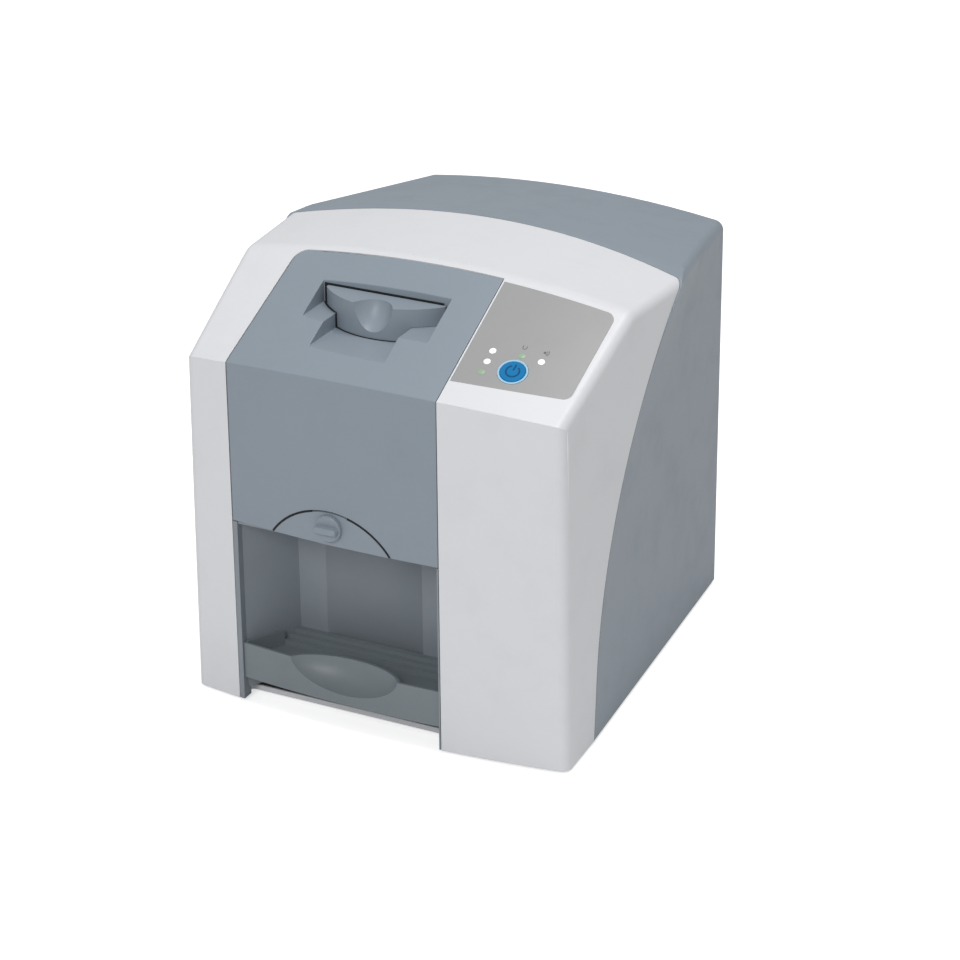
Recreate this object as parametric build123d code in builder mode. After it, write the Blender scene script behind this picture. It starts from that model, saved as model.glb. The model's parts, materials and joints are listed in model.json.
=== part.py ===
"""Desktop scanner for dental phosphor plates.

The frame of the model: +X to the right, +Y to the back, +Z up, in millimetres. The front faces -Y.
Places are given in housing coordinates: x across, depth behind the plane of the two front
corners, and height above the underside of the housings. level(), side() and front() turn them
into planes.
"""

import os
from math import cos, radians, sin, sqrt

from build123d import *

os.makedirs("parts", exist_ok=True)

# Outer form
REAR_DEPTH = 388.5          # rear edges of the housing behind the front corners
RIDGE_HEIGHT = 391.5        # highest line of the top, which every upper height hangs from
RIDGE_DEPTH = 227.0
FRONT_BOW = 15.0            # how far the middle of the front bulges ahead of its corners
CORNER_FOOT_HALF = 181.0    # half width at the front corners, at the foot
CORNER_TOP_HALF = 176.0     # and at the top of the upright front
CORNER_TOP_HEIGHT = RIDGE_HEIGHT - 76.5
SEAM_FOOT_HALF = 177.6      # half width at the seam between the two housings, at the foot
SEAM_TOP_HALF = 190.0       # and where the seam turns onto the roof
SEAM_TOP_HEIGHT = RIDGE_HEIGHT - 20.5
SEAM_FOOT_DEPTH = 59.0      # the seam rises upright to the bend, then leans back along an arc
SEAM_BEND_HEIGHT = 60.0
SEAM_RADIUS = 416.0
REAR_HALF = 148.5           # half width at the rear edges, the same at every height
CROWN_RADIUS = 1020.0       # the top is crowned across its width by this radius
BREAK_DEPTH = 115.0         # where the sloping front turns into the roof
BREAK_HEIGHT = RIDGE_HEIGHT - 2.2
BREAK_RADIUS = 25.0
SLOPE_RISE = 0.506          # height gained for each millimetre of depth on the sloping front
ROOF_REAR_HEIGHT = RIDGE_HEIGHT - 24.0
EDGE_RADIUS = 9.0           # rounded corners and roof edges
EDGE_BEVEL = 3.6            # bevel of the same corners inside the walls
FOOT_OUT = 3.0              # how far the rubber feet stand out below the housings

# Walls and clearances
WALL = 3.0                  # moulded housing wall
SEAM_GAP = 0.6              # shadow line between the two housings
COVER_GAP = 0.8             # shadow line round the front cover
FIT = 0.3                   # clearance of a piece that is set into another
LIP_THICK = 5.0             # bottom flange of the front housing, seen as a lip between its feet

# Front opening and cover
OPENING_LEFT = -134.0
OPENING_RIGHT = 68.0
OPENING_TOP_LEFT = -129.0   # the left edge leans in on the slope
OPENING_REAR = 112.0        # depth of the upper edge of the cover
OPENING_CORNER = 12.0       # radius of the upper left corner
COVER_FOOT = RIDGE_HEIGHT - 218.9    # height of the lower edge of the cover
LIP_FRONT = 12.7            # front edge of the lip, behind the front corners

# Half-moon plate, knob and catch
MOON_RADIUS = 70.0
MOON_X = -34.0
MOON_GAP = 1.2              # shadow line round the plate
MOON_FLANGE = 5.0
KNOB_RISE = 16.4            # knob above the lower edge of the cover
KNOB_HEIGHT = COVER_FOOT + KNOB_RISE
MOON_HEIGHT = KNOB_HEIGHT + 14.6 - MOON_RADIUS
KNOB_DIAMETER = 24.0
KNOB_DISC = 4.0
GRIP_OUT = 6.0
GRIP_WIDTH = 7.0
GRIP_TAPER = 5.0            # degrees
KNOB_EDGE = 1.2             # bevel of the disc and the grip
SPINDLE_DIAMETER = 10.0
TONGUE_REACH = KNOB_RISE - 0.4
TONGUE_WIDTH = 8.0
TONGUE_THICK = 2.5
TONGUE_GAP = 0.8            # play between the tongue and its keeper
KEEPER_THICK = 1.8
KEEPER_HALF = 14.0
KEEPER_TALL = 4.5

# Hand recess in the cover, and the plate cassette that stands in it
SLOT_X = -29.3              # centre of the guide drum and of everything that follows it
DRUM_DEPTH = 126.5
HANDLE_RADIUS = 72.4
RECESS_LEFT = -88.0
RECESS_RIGHT = 33.8
RECESS_REAR = 82.0
LEDGE_HEIGHT = RIDGE_HEIGHT - 42.2
SCOOP_HALF = 36.5
SCOOP_HEIGHT = LEDGE_HEIGHT - 12.8
RECESS_WALL = 2.5
HANDLE_TOP = LEDGE_HEIGHT + 16.0
HANDLE_GAP = 1.6            # dark gap round the handle
TAB_TOP_RADIUS = 13.5       # thumb tab in the middle of the handle, narrowing downwards
TAB_FOOT_RADIUS = 6.0
TAB_OUT = 6.0               # how far the tab stands out at its top
TAB_RIM = 2.0               # rim left above the hollow of the tab
TAB_DISH_RADIUS = 10.0
TAB_DISH_DEEP = 2.5
HANDLE_HALF = 54.8
CARRIER_RADIUS = 68.0       # outer face of the curved carrier below the handle
CARRIER_THICK = 2.6
CARRIER_FOOT = SCOOP_HEIGHT - 31.5
CARRIER_SPREAD = 30.0       # degrees to each side

# Control panel
LABEL_THICK = 0.8
LABEL_LEFT = 69.4
LABEL_REAR = 109.0
LABEL_CORNER = 8.0
BUTTON_X = 115.0
BUTTON_DEPTH = 31.4
BUTTON_DIAMETER = 21.6
BUTTON_TRAVEL = 0.8
BUTTON_SUNK = 4.0           # underside of the cap below the sloping surface
BUTTON_PROUD = 1.0
BUTTON_EDGE = 0.6
BUTTON_STEM = 5.0
RING_DIAMETER = 25.4
WINDOW_DIAMETER = 4.6
WINDOW_PLACES = [(90.5, 44.5), (90.5, 34.0), (90.5, 23.5), (115.5, 47.3), (133.0, 47.5)]
BOARD_DROP = 10.0           # control board below the sloping surface
BOARD_THICK = 1.6
BOARD_X = 118.0
BOARD_DEPTH = 36.0
BOARD_WIDE = 84.0
BOARD_LONG = 46.0

# Bay and collecting tray
BAY_LEFT = -128.7
BAY_RIGHT = 66.0
BAY_REAR_LEFT = -101.0
BAY_REAR_RIGHT = 43.0
BAY_DEPTH = 47.0
NICHE_X = -27.0
NICHE_HALF = 47.0
NICHE_DEPTH = 18.0
LINER_WALL = 2.0
TRAY_FOOT = 21.5
TRAY_TOP = 55.0
TRAY_FLOOR = 41.0           # floor of the trough
TRAY_SETBACK = 2.0
TRAY_WALL = 2.5
TRAY_STEPS = 3
TRAY_TROUGH_REAR = 30.0     # the steps rise behind the trough
STEP_DEEP = 5.4
STEP_FIRST = 46.0
STEP_RISE = 3.5
SCOOP_DEPTH = -19.0         # axis of the rounded finger scoop
SCOOP_LEVEL = 57.0
SCOOP_X = -27.0
SCOOP_LONG = 55.0
SCOOP_ROUND = 27.0
RAIL_WIDTH = 6.0

# Base and feet
BASE_THICK = 2.0
LEDGE_WIDTH = 8.0
RIM_DEEP = 4.0
FOOT_DIAMETER = 24.0
FOOT_NEAR_X = 140.0
FOOT_NEAR = 82.0
FOOT_FAR_X = 118.0
FOOT_FAR = REAR_DEPTH - 36.5
VENT_LONG = 40.0
VENT_WIDE = 5.0
VENT_PITCH = 14.0

# Rear panel
PANEL_THICK = 2.5
PANEL_SET_IN = 2.5
FAN_X = 60.0
FAN_HEIGHT = RIDGE_HEIGHT - 136.5
FAN_SIZE = 80.0
FAN_THICK = 25.0
FAN_BLADES = 7
FAN_HUB = 16.0
GRILLE_ROWS = 4             # rows of slots above and below the middle one
GRILLE_PITCH = 8.0
GRILLE_SLOT = 4.5
GRILLE_RIB = 2.0            # half of the rib between the left and the right slots
INLET_X = -95.0
INLET_HEIGHT = 48.0
INLET_WIDE = 28.0
INLET_TALL = 21.0
INLET_DEEP = 22.0
SWITCH_X = -50.0
SWITCH_WIDE = 22.0
SWITCH_HIGH = 28.0
ROCKER_TILT = 8.0           # degrees to each side of the middle
BEZEL_THICK = 1.5
USB_X = 20.0
USB_WIDE = 12.0
USB_TALL = 11.0
NETWORK_X = 48.0
NETWORK_WIDE = 16.0
NETWORK_TALL = 13.5
PORT_DEEP = 17.0

# Main board and power supply on the base
MAIN_BOARD_LEVEL = 16.0
MAIN_BOARD_X = 65.0
MAIN_BOARD_WIDE = 130.0
SUPPLY_X = -85.0
SUPPLY_WIDE = 90.0
SUPPLY_TALL = 50.0
SUPPLY_BEHIND = 28.5        # room behind the supply for the inlet and the switch
FRAME_BEHIND = 20.0         # room between the chassis and the board or the supply

# Scanning unit
DRUM_RADIUS = 64.0
DRUM_WALL = 4.0
DRUM_TALL = 133.0
DRUM_TOP = SCOOP_HEIGHT - 18.5
DRUM_FOOT = DRUM_TOP - DRUM_TALL
SLIT_HEIGHT = DRUM_FOOT + 65.0
SLIT_GAP = 4.0
SHELF_THICK = 3.0
FRAME_WALL = 3.0
FRAME_HALF = 86.0
FRAME_FRONT = 95.0
FRAME_REAR = 210.0
WINDOW_WIDE = 60.0          # openings in the sides of the chassis
BACK_WINDOW = 110.0         # and in its back
WINDOW_MARGIN = 30.0
ROLLER_LOWER = DRUM_FOOT + 15.0
ROLLER_UPPER = DRUM_TOP - 30.0
ROLLER_RADIUS = 76.5        # roller axes from the drum axis
ROLLER_ANGLE = 24.0
PULLEY_RADIUS = 8.0
PULLEY_WIDTH = 8.0
PULLEY_OFFSET = 11.0
ROLLER_SHAFT = 5.0
SHAFT_HALF = 22.0
BELT_WIDTH = 7.0
BELT_THICK = 1.2
CRADLE_RADIUS = 92.0
CRADLE_WALL = 3.0
CRADLE_SPREAD = 62.0        # degrees to each side
CRADLE_FOOT = DRUM_FOOT + 5.0
CRADLE_TOP = DRUM_TOP - 18.0
EAR_OFFSET = 19.0
EAR_THICK = 3.0
GEAR_MODULE = 0.8
GEAR_TEETH = 24
PINION_TEETH = 12
GEAR_WIDTH = 5.0
GEAR_OFFSET = 26.0
BRACKET_OFFSET = 32.0
BRACKET_THICK = 3.0
MOTOR_DIAMETER = 28.0
MOTOR_LENGTH = 38.0

# Optics in and above the drum
PRISM_MOTOR_DIAMETER = 40.0
PRISM_MOTOR_TALL = 35.0
PRISM_SIZE = 14.0
LASER_DIAMETER = 25.0
LASER_LONG = 38.0
COLLECTOR_BORE = 28.0
COLLECTOR_FOOT = SLIT_HEIGHT + 6.0
COLLECTOR_TALL = 16.0
GUIDE_DIAMETER = 16.0
TUBE_DEPTH = 165.0
TUBE_DIAMETER = 50.0
TUBE_TALL = 50.0
LAMP_RADIUS = 86.0
LAMP_WIDE = 6.0
LAMP_TALL = 7.0
LAMP_SPREAD = 32.0

FORM_REACH = 60.0           # how far construction solids run past the housing
PAST_SEAM = 10.0            # how far the inner spaces run past the seam
SIDE_HEIGHTS = [-10, SEAM_BEND_HEIGHT, 125, 190, 255, 320, RIDGE_HEIGHT + 8.5]


# Planes of the housing coordinates
def level(height):
    return Plane(origin=(0, FRONT_Y, FOOT_OUT + height))


def side(x):
    return Plane(origin=(x, FRONT_Y, FOOT_OUT), x_dir=(0, 1, 0), z_dir=(1, 0, 0))


def front(depth):
    return Plane(origin=(0, FRONT_Y + depth, FOOT_OUT), x_dir=(1, 0, 0), z_dir=(0, -1, 0))


# The form of the outer skin
def corner_half(height):
    share = height / CORNER_TOP_HEIGHT
    return CORNER_FOOT_HALF + (CORNER_TOP_HALF - CORNER_FOOT_HALF) * share


def seam_half(height):
    share = height / SEAM_TOP_HEIGHT
    return SEAM_FOOT_HALF + (SEAM_TOP_HALF - SEAM_FOOT_HALF) * share


def seam_depth(height):
    rise = max(0.0, height - SEAM_BEND_HEIGHT)
    return SEAM_FOOT_DEPTH + SEAM_RADIUS - sqrt(SEAM_RADIUS**2 - rise**2)


def front_half(depth, height):
    lean = (seam_half(height) - corner_half(height)) / seam_depth(height)
    return corner_half(height) + lean * depth


def rear_half(depth, height):
    lean = (seam_half(height) - REAR_HALF) / (REAR_DEPTH - seam_depth(height))
    return REAR_HALF + lean * (REAR_DEPTH - depth)


def bow_depth(x):
    return -FRONT_BOW * (1 - (x / CORNER_FOOT_HALF) ** 2)


KNOB_SEAT = bow_depth(MOON_X + KNOB_DIAMETER / 2) - FIT
KNOB_FRONT = KNOB_SEAT - KNOB_DISC - GRIP_OUT
FRONT_Y = -(KNOB_FRONT + REAR_DEPTH) / 2    # the origin lies under the middle of the object


CROWN_AXIS = RIDGE_HEIGHT - CROWN_RADIUS    # height of the axis that the crowned top turns about


def slope_plane(x, depth, drop=0.0):
    """Plane on the sloping front at (x, depth), sunk by drop, its y axis up the slope."""
    radius = BREAK_HEIGHT - SLOPE_RISE * (BREAK_DEPTH - depth) - CROWN_AXIS
    rise = sqrt(radius**2 - x**2)
    normal = Vector(x, -SLOPE_RISE * radius, rise).normalized()
    spot = Vector(x, FRONT_Y + depth, FOOT_OUT + CROWN_AXIS + rise) - normal * drop
    return Plane(origin=spot, x_dir=(rise, 0, -x), z_dir=normal)


def side_form(half, near, far, inset):
    """Space between the two side faces, which are ruled from the near to the far section."""
    with BuildPart() as form:
        for depth in (near, far):
            right = [(half(depth, height) - inset, height) for height in SIDE_HEIGHTS]
            left = [(-x, height) for x, height in right]
            with BuildSketch(front(depth)):
                with BuildLine():
                    Spline(*right)
                    Line(right[-1], left[-1])
                    Spline(*left[::-1])
                    Line(left[0], right[0])
                make_face()
        loft(ruled=True)
    return form.part


def top_form(inset):
    """Everything below the crowned top: the side profile turned about a far axis."""
    tilt = 20.0
    start = BREAK_DEPTH - OPENING_REAR - FORM_REACH
    foot = -FORM_REACH / 2
    rear = REAR_DEPTH + FORM_REACH
    fall = (RIDGE_HEIGHT - ROOF_REAR_HEIGHT) / (REAR_DEPTH - RIDGE_DEPTH)
    profile = [
        (start, foot),
        (start, BREAK_HEIGHT - SLOPE_RISE * (BREAK_DEPTH - start)),
        (BREAK_DEPTH, BREAK_HEIGHT),
        (RIDGE_DEPTH, RIDGE_HEIGHT),
        (rear, RIDGE_HEIGHT - fall * (rear - RIDGE_DEPTH)),
        (rear, foot),
    ]
    profile_plane = Plane(
        origin=(0, FRONT_Y, FOOT_OUT + CROWN_AXIS),
        x_dir=(0, 1, 0),
        z_dir=(cos(radians(tilt)), 0, sin(radians(tilt))),
    )
    with BuildPart() as form:
        with BuildSketch(profile_plane) as outline:
            with BuildLine():
                Polyline(*[(d, h - CROWN_AXIS) for d, h in profile], close=True)
            make_face()
            corner = outline.vertices().sort_by(lambda v: abs(v.X - BREAK_DEPTH))[0]
            fillet(corner, radius=BREAK_RADIUS)
            if inset:
                offset(amount=-inset)
        revolve(axis=Axis((0, FRONT_Y, FOOT_OUT + CROWN_AXIS), (0, 1, 0)), revolution_arc=2 * tilt)
    return form.part


def bow_form(inset, foot=-FORM_REACH, top=RIDGE_HEIGHT + FORM_REACH):
    """Everything behind the bowed front, moved back by inset."""
    wide = CORNER_FOOT_HALF + FORM_REACH
    with BuildPart() as form:
        with BuildSketch(level(foot)):
            with BuildLine():
                arc = ThreePointArc(
                    (-wide, bow_depth(wide) + inset),
                    (0, inset - FRONT_BOW),
                    (wide, bow_depth(wide) + inset),
                )
                rear = REAR_DEPTH + FORM_REACH
                Polyline(arc @ 1, (wide, rear), (-wide, rear), arc @ 0)
            make_face()
        extrude(amount=top - foot)
    return form.part


def seam_form(shift, ahead=True):
    """Everything ahead of the seam, or behind it; the seam runs straight across the housing."""
    top = RIDGE_HEIGHT + 10
    foot = -FORM_REACH / 2
    middle = (SEAM_BEND_HEIGHT + top) / 2
    low, bend, mid, high = [
        (seam_depth(height) + shift, height) for height in (foot, SEAM_BEND_HEIGHT, middle, top)
    ]
    far = -FORM_REACH * 2 if ahead else REAR_DEPTH + FORM_REACH
    with BuildPart() as form:
        with BuildSketch(side(-SEAM_TOP_HALF - FORM_REACH)):
            with BuildLine():
                Line(low, bend)
                ThreePointArc(bend, mid, high)
                Polyline(high, (far, high[1]), (far, low[1]), low)
            make_face()
        extrude(amount=2 * (SEAM_TOP_HALF + FORM_REACH))
    return form.part


def slab(x0, x1, d0, d1, h0, h1):
    """Plain block between two corners in housing coordinates."""
    with BuildPart() as block:
        with BuildSketch(level(h0)):
            with Locations(((x0 + x1) / 2, (d0 + d1) / 2)):
                Rectangle(x1 - x0, d1 - d0)
        extrude(amount=h1 - h0)
    return block.part


def round_corners(inset, edges):
    """Round the outer corners; those inside the walls take a bevel."""
    if inset:
        chamfer(edges, length=EDGE_BEVEL)
    else:
        fillet(edges, radius=EDGE_RADIUS)


def front_form(inset, shift=-SEAM_GAP / 2, foot=0.0, corners=True):
    """The front housing's space: bowed front, flared sides, sloping top, up to the seam."""
    with BuildPart() as form:
        add(side_form(front_half, -FORM_REACH / 2, RIDGE_DEPTH + FORM_REACH, inset))
        add(bow_form(inset), mode=Mode.INTERSECT)
        add(top_form(inset), mode=Mode.INTERSECT)
        add(seam_form(shift), mode=Mode.INTERSECT)
        add(slab(-300, 300, -300, 600, foot - 2 * FORM_REACH, foot), mode=Mode.SUBTRACT)
        upright = form.edges().filter_by(
            lambda e: abs(e.center().X) > CORNER_TOP_HALF - EDGE_RADIUS
            and abs(e.center().Y - FRONT_Y - inset) < 2
        )
        roof = form.edges().filter_by(
            lambda e: abs(e.center().X) > CORNER_TOP_HALF - EDGE_RADIUS
            and e.center().Z - FOOT_OUT > CORNER_TOP_HEIGHT
            and e.center().Y - FRONT_Y > 5
        )
        if corners:
            round_corners(inset, upright + roof)
    return form.part


def rear_form(inset, shift=SEAM_GAP / 2, rear=REAR_DEPTH, foot=0.0):
    """The rear housing's space: tapering sides and falling roof, from the seam to the rear."""
    with BuildPart() as form:
        add(side_form(rear_half, SEAM_FOOT_DEPTH - 30, REAR_DEPTH + FORM_REACH, inset))
        add(top_form(inset), mode=Mode.INTERSECT)
        add(seam_form(shift, ahead=False), mode=Mode.INTERSECT)
        add(slab(-300, 300, rear, rear + 300, -100, 500), mode=Mode.SUBTRACT)
        add(slab(-300, 300, -300, 700, foot - 2 * FORM_REACH, foot), mode=Mode.SUBTRACT)
        roof = form.edges().filter_by(
            lambda e: abs(e.center().X) > REAR_HALF - EDGE_RADIUS - inset
            and e.center().Z - FOOT_OUT > ROOF_REAR_HEIGHT - 30
            and REAR_DEPTH - 140 < e.center().Y - FRONT_Y < rear - 5
        )
        round_corners(inset, roof)
    return form.part


def opening_prism(gap, foot):
    """Plan of the front opening, shrunk by gap, carried straight up."""
    with BuildPart() as prism:
        with BuildSketch(level(foot)) as plan:
            with BuildLine():
                Polyline(
                    (OPENING_LEFT, -FORM_REACH),
                    (OPENING_RIGHT, -FORM_REACH),
                    (OPENING_RIGHT, OPENING_REAR),
                    (OPENING_TOP_LEFT, OPENING_REAR),
                    (OPENING_LEFT, 0),
                    close=True,
                )
            make_face()
            corner = plan.vertices().sort_by(Axis.Y)[-2:].sort_by(Axis.X)[0]
            fillet(corner, radius=OPENING_CORNER)
            if gap:
                offset(amount=-gap, kind=Kind.INTERSECTION)
        extrude(amount=RIDGE_HEIGHT + FORM_REACH - foot)
    return prism.part


def label_prism(gap):
    """Plan of the control label, between the cover and the roof edge, carried straight up."""
    rear_right = front_half(LABEL_REAR, BREAK_HEIGHT) - 10.5
    front_right = front_half(24, CORNER_TOP_HEIGHT) - 8.5
    with BuildPart() as prism:
        with BuildSketch(level(CORNER_TOP_HEIGHT - 20)) as plan:
            with BuildLine():
                foot = ThreePointArc(
                    (LABEL_LEFT, bow_depth(LABEL_LEFT) + 21.3),
                    (118.0, bow_depth(118.0) + 23.0),
                    (front_right, bow_depth(front_right) + 25.6),
                )
                Polyline(foot @ 1, (rear_right, LABEL_REAR), (LABEL_LEFT, LABEL_REAR), foot @ 0)
            make_face()
            fillet(plan.vertices().sort_by(Axis.X)[-2:], radius=LABEL_CORNER)
            if gap:
                offset(amount=-gap, kind=Kind.INTERSECTION)
        extrude(amount=RIDGE_HEIGHT - CORNER_TOP_HEIGHT + 40)
    return prism.part


def label_space(gap, depth):
    """The label's plan down to a depth below the sloping surface, open upwards."""
    with BuildPart() as space:
        add(label_prism(gap))
        add(front_form(depth, corners=False), mode=Mode.SUBTRACT)
    return space.part


def finish(piece, label):
    piece.label = label
    export_step(piece, f"parts/{label}.step")


def drum_plane(angle, height, radius=0.0):
    """Plane at a place round the drum: z points away from the drum axis, y points up."""
    turn = radians(angle)
    out = Vector(sin(turn), -cos(turn), 0)
    spot = Vector(SLOT_X, FRONT_Y + DRUM_DEPTH, FOOT_OUT + height) + out * radius
    return Plane(origin=spot, x_dir=(cos(turn), sin(turn), 0), z_dir=out)


def drum_axle(angle, height, offset_along, radius=ROLLER_RADIUS):
    """Plane square to a roller axis: z runs along the roller, x up, y away from the drum."""
    turn = radians(angle)
    out = Vector(sin(turn), -cos(turn), 0)
    along = Vector(cos(turn), sin(turn), 0)
    spot = (
        Vector(SLOT_X, FRONT_Y + DRUM_DEPTH, FOOT_OUT + height)
        + out * radius
        + along * offset_along
    )
    return Plane(origin=spot, x_dir=(0, 0, 1), z_dir=along)


OUTER_FRONT = front_form(0)
INNER_FRONT = front_form(WALL, shift=PAST_SEAM, foot=LIP_THICK)

# Front housing: two pillars, the band over the cover, the panel area and the lip
with BuildPart() as front_housing:
    add(OUTER_FRONT)
    add(INNER_FRONT, mode=Mode.SUBTRACT)
    add(opening_prism(0, LIP_THICK), mode=Mode.SUBTRACT)
    with BuildSketch(level(-1)) as foot_cut:
        with Locations(((OPENING_LEFT + OPENING_RIGHT) / 2, LIP_FRONT - FORM_REACH / 2)):
            Rectangle(OPENING_RIGHT - OPENING_LEFT, FORM_REACH)
        fillet(foot_cut.vertices().sort_by(Axis.Y)[-2:], radius=5)
    extrude(amount=LIP_THICK + 2, mode=Mode.SUBTRACT)
    add(label_space(0, LABEL_THICK + 0.1), mode=Mode.SUBTRACT)
    with BuildSketch(slope_plane(BUTTON_X, BUTTON_DEPTH, -5)):
        Circle(RING_DIAMETER / 2 + FIT)
    extrude(amount=-15, mode=Mode.SUBTRACT)
    for x, depth in WINDOW_PLACES:
        with BuildSketch(slope_plane(x, depth, -5)):
            Circle(WINDOW_DIAMETER / 2 + FIT)
        extrude(amount=-15, mode=Mode.SUBTRACT)
    with BuildSketch(slope_plane(BOARD_X, BOARD_DEPTH, WALL - 0.5)):
        with GridLocations(BOARD_WIDE - 8, BOARD_LONG - 8, 2, 2):
            Circle(3)
    extrude(amount=WALL - 0.5 - BOARD_DROP)
finish(front_housing.part, "front_housing")

PANEL_FRONT = REAR_DEPTH - PANEL_SET_IN - PANEL_THICK


def rear_rims():
    """Ledges inside the rear housing that the base and the rear panel rest against."""
    with BuildPart() as rims:
        add(rear_form(WALL - 0.5))
        add(
            rear_form(WALL + LEDGE_WIDTH, shift=-PAST_SEAM, rear=REAR_DEPTH + 20),
            mode=Mode.SUBTRACT,
        )
        upper = slab(-300, 300, -300, PANEL_FRONT - RIM_DEEP, LIP_THICK, 500)
        add(upper, mode=Mode.SUBTRACT)
        add(slab(-300, 300, PANEL_FRONT, 700, -100, 500), mode=Mode.SUBTRACT)
    return rims.part


# Rear housing: roof and both sides in one moulding, with rims for the base and the rear panel
with BuildPart() as rear_housing:
    add(rear_form(0))
    add(rear_form(WALL, shift=-PAST_SEAM, rear=REAR_DEPTH + 20), mode=Mode.SUBTRACT)
    add(rear_rims())
finish(rear_housing.part, "rear_housing")


def base_outline(inset, near, far):
    """Half-width points of the base, clear of the housing walls by inset."""
    seam = SEAM_FOOT_DEPTH
    return [
        (front_half(near, LIP_THICK) - inset, near),
        (seam_half(LIP_THICK) - inset, seam),
        (rear_half(far, LIP_THICK) - inset, far),
    ]


# Base plate: sheet steel on the lip and the rims, with rows of vent slots
BASE_NEAR = LIP_FRONT + 8
BASE_FAR = PANEL_FRONT - RIM_DEEP - FIT
with BuildPart() as base_plate:
    with BuildSketch(level(LIP_THICK)):
        right_side = base_outline(WALL + 0.6, BASE_NEAR, BASE_FAR)
        with BuildLine():
            Polyline(*right_side, *[(-x, d) for x, d in right_side[::-1]], close=True)
        make_face()
        with Locations((0, (BASE_NEAR + BASE_FAR) / 2)):
            with GridLocations(VENT_PITCH, 2.5 * VENT_LONG, 9, 2):
                Rectangle(VENT_WIDE, VENT_LONG, mode=Mode.SUBTRACT)
    extrude(amount=BASE_THICK)
finish(base_plate.part, "base_plate")

# Rubber feet
with BuildPart() as rubber_feet:
    with BuildSketch(level(-FOOT_OUT)):
        foot_near = [(-FOOT_NEAR_X, FOOT_NEAR), (FOOT_NEAR_X, FOOT_NEAR)]
        foot_far = [(-FOOT_FAR_X, FOOT_FAR), (FOOT_FAR_X, FOOT_FAR)]
        with Locations(*foot_near, *foot_far):
            Circle(FOOT_DIAMETER / 2)
    extrude(amount=LIP_THICK + FOOT_OUT)
finish(rubber_feet.part, "rubber_feet")

PORT_FOOT = MAIN_BOARD_LEVEL + BOARD_THICK
PANEL_REAR = PANEL_FRONT + PANEL_THICK


def fan_plane(depth):
    """Plane centred on the fan, facing the front."""
    return Plane(
        origin=(FAN_X, FRONT_Y + depth, FOOT_OUT + FAN_HEIGHT), x_dir=(1, 0, 0), z_dir=(0, -1, 0)
    )


# Rear panel with the fan grille and the cut-outs of inlet, switch and ports
with BuildPart() as rear_panel:
    add(rear_form(WALL + 0.4, shift=-PAST_SEAM, rear=PANEL_REAR, foot=1.0))
    add(slab(-300, 300, -300, PANEL_FRONT, -100, 500), mode=Mode.SUBTRACT)
    with BuildSketch(front(PANEL_REAR + 5)):
        with Locations((INLET_X, INLET_HEIGHT)):
            RectangleRounded(INLET_WIDE + 2 * FIT, INLET_TALL + 2 * FIT, 4)
        with Locations((SWITCH_X, INLET_HEIGHT)):
            Rectangle(SWITCH_WIDE + 2 * FIT, SWITCH_HIGH + 2 * FIT)
        with Locations((USB_X, PORT_FOOT + USB_TALL / 2)):
            Rectangle(USB_WIDE + 2 * FIT, USB_TALL + 2 * FIT)
        with Locations((NETWORK_X, PORT_FOOT + NETWORK_TALL / 2)):
            Rectangle(NETWORK_WIDE + 2 * FIT, NETWORK_TALL + 2 * FIT)
    extrude(amount=20, mode=Mode.SUBTRACT)
    with BuildSketch(fan_plane(PANEL_REAR + 5)):
        for row in range(-GRILLE_ROWS, GRILLE_ROWS + 1):
            rise = row * GRILLE_PITCH
            reach = sqrt((FAN_SIZE / 2 - 2) ** 2 - (abs(rise) + GRILLE_SLOT / 2) ** 2)
            with Locations((-(reach + GRILLE_RIB) / 2, rise), ((reach + GRILLE_RIB) / 2, rise)):
                Rectangle(reach - GRILLE_RIB, GRILLE_SLOT)
    extrude(amount=20, mode=Mode.SUBTRACT)
finish(rear_panel.part, "rear_panel")


def recess_space(grow):
    """The stepped hand recess: two shallow ledges and a deeper scoop between them."""
    with BuildPart() as space:
        add(
            slab(
                RECESS_LEFT - grow,
                RECESS_RIGHT + grow,
                20.0,
                RECESS_REAR + grow,
                LEDGE_HEIGHT - grow,
                RIDGE_HEIGHT,
            )
        )
        add(
            slab(
                SLOT_X - SCOOP_HALF - grow,
                SLOT_X + SCOOP_HALF + grow,
                -5.0,
                RECESS_REAR + grow,
                SCOOP_HEIGHT - grow,
                RIDGE_HEIGHT,
            )
        )
    return space.part


def drum_sector(inner, outer, spread, foot, top):
    """Part of a ring round the drum axis, spread to each side of the front."""
    with BuildPart() as ring:
        with BuildSketch(level(foot)):
            with BuildLine():
                near = CenterArc((SLOT_X, DRUM_DEPTH), inner, -90 - spread, 2 * spread)
                far = CenterArc((SLOT_X, DRUM_DEPTH), outer, -90 - spread, 2 * spread)
                Line(near @ 0, far @ 0)
                Line(near @ 1, far @ 1)
            make_face()
        extrude(amount=top - foot)
    return ring.part


# Front cover: upright part and slope in one moulding, with the hand recess and its slot
with BuildPart() as cover_box:
    add(recess_space(RECESS_WALL))
    add(OUTER_FRONT, mode=Mode.INTERSECT)
with BuildPart() as front_cover:
    add(OUTER_FRONT)
    add(front_form(WALL, shift=PAST_SEAM, corners=False), mode=Mode.SUBTRACT)
    add(opening_prism(COVER_GAP, COVER_FOOT), mode=Mode.INTERSECT)
    add(cover_box.part)
    add(recess_space(0), mode=Mode.SUBTRACT)
    add(
        drum_sector(
            CARRIER_RADIUS - CARRIER_THICK - 0.6,
            CARRIER_RADIUS + 0.6,
            CARRIER_SPREAD + 1,
            SCOOP_HEIGHT - 2 * RECESS_WALL,
            SCOOP_HEIGHT + 1,
        ),
        mode=Mode.SUBTRACT,
    )
    with BuildSketch(front(-FORM_REACH)):
        with Locations((MOON_X, MOON_HEIGHT)):
            Circle(MOON_RADIUS)
    extrude(amount=-FORM_REACH - 10, mode=Mode.SUBTRACT)
finish(front_cover.part, "front_cover")

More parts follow.
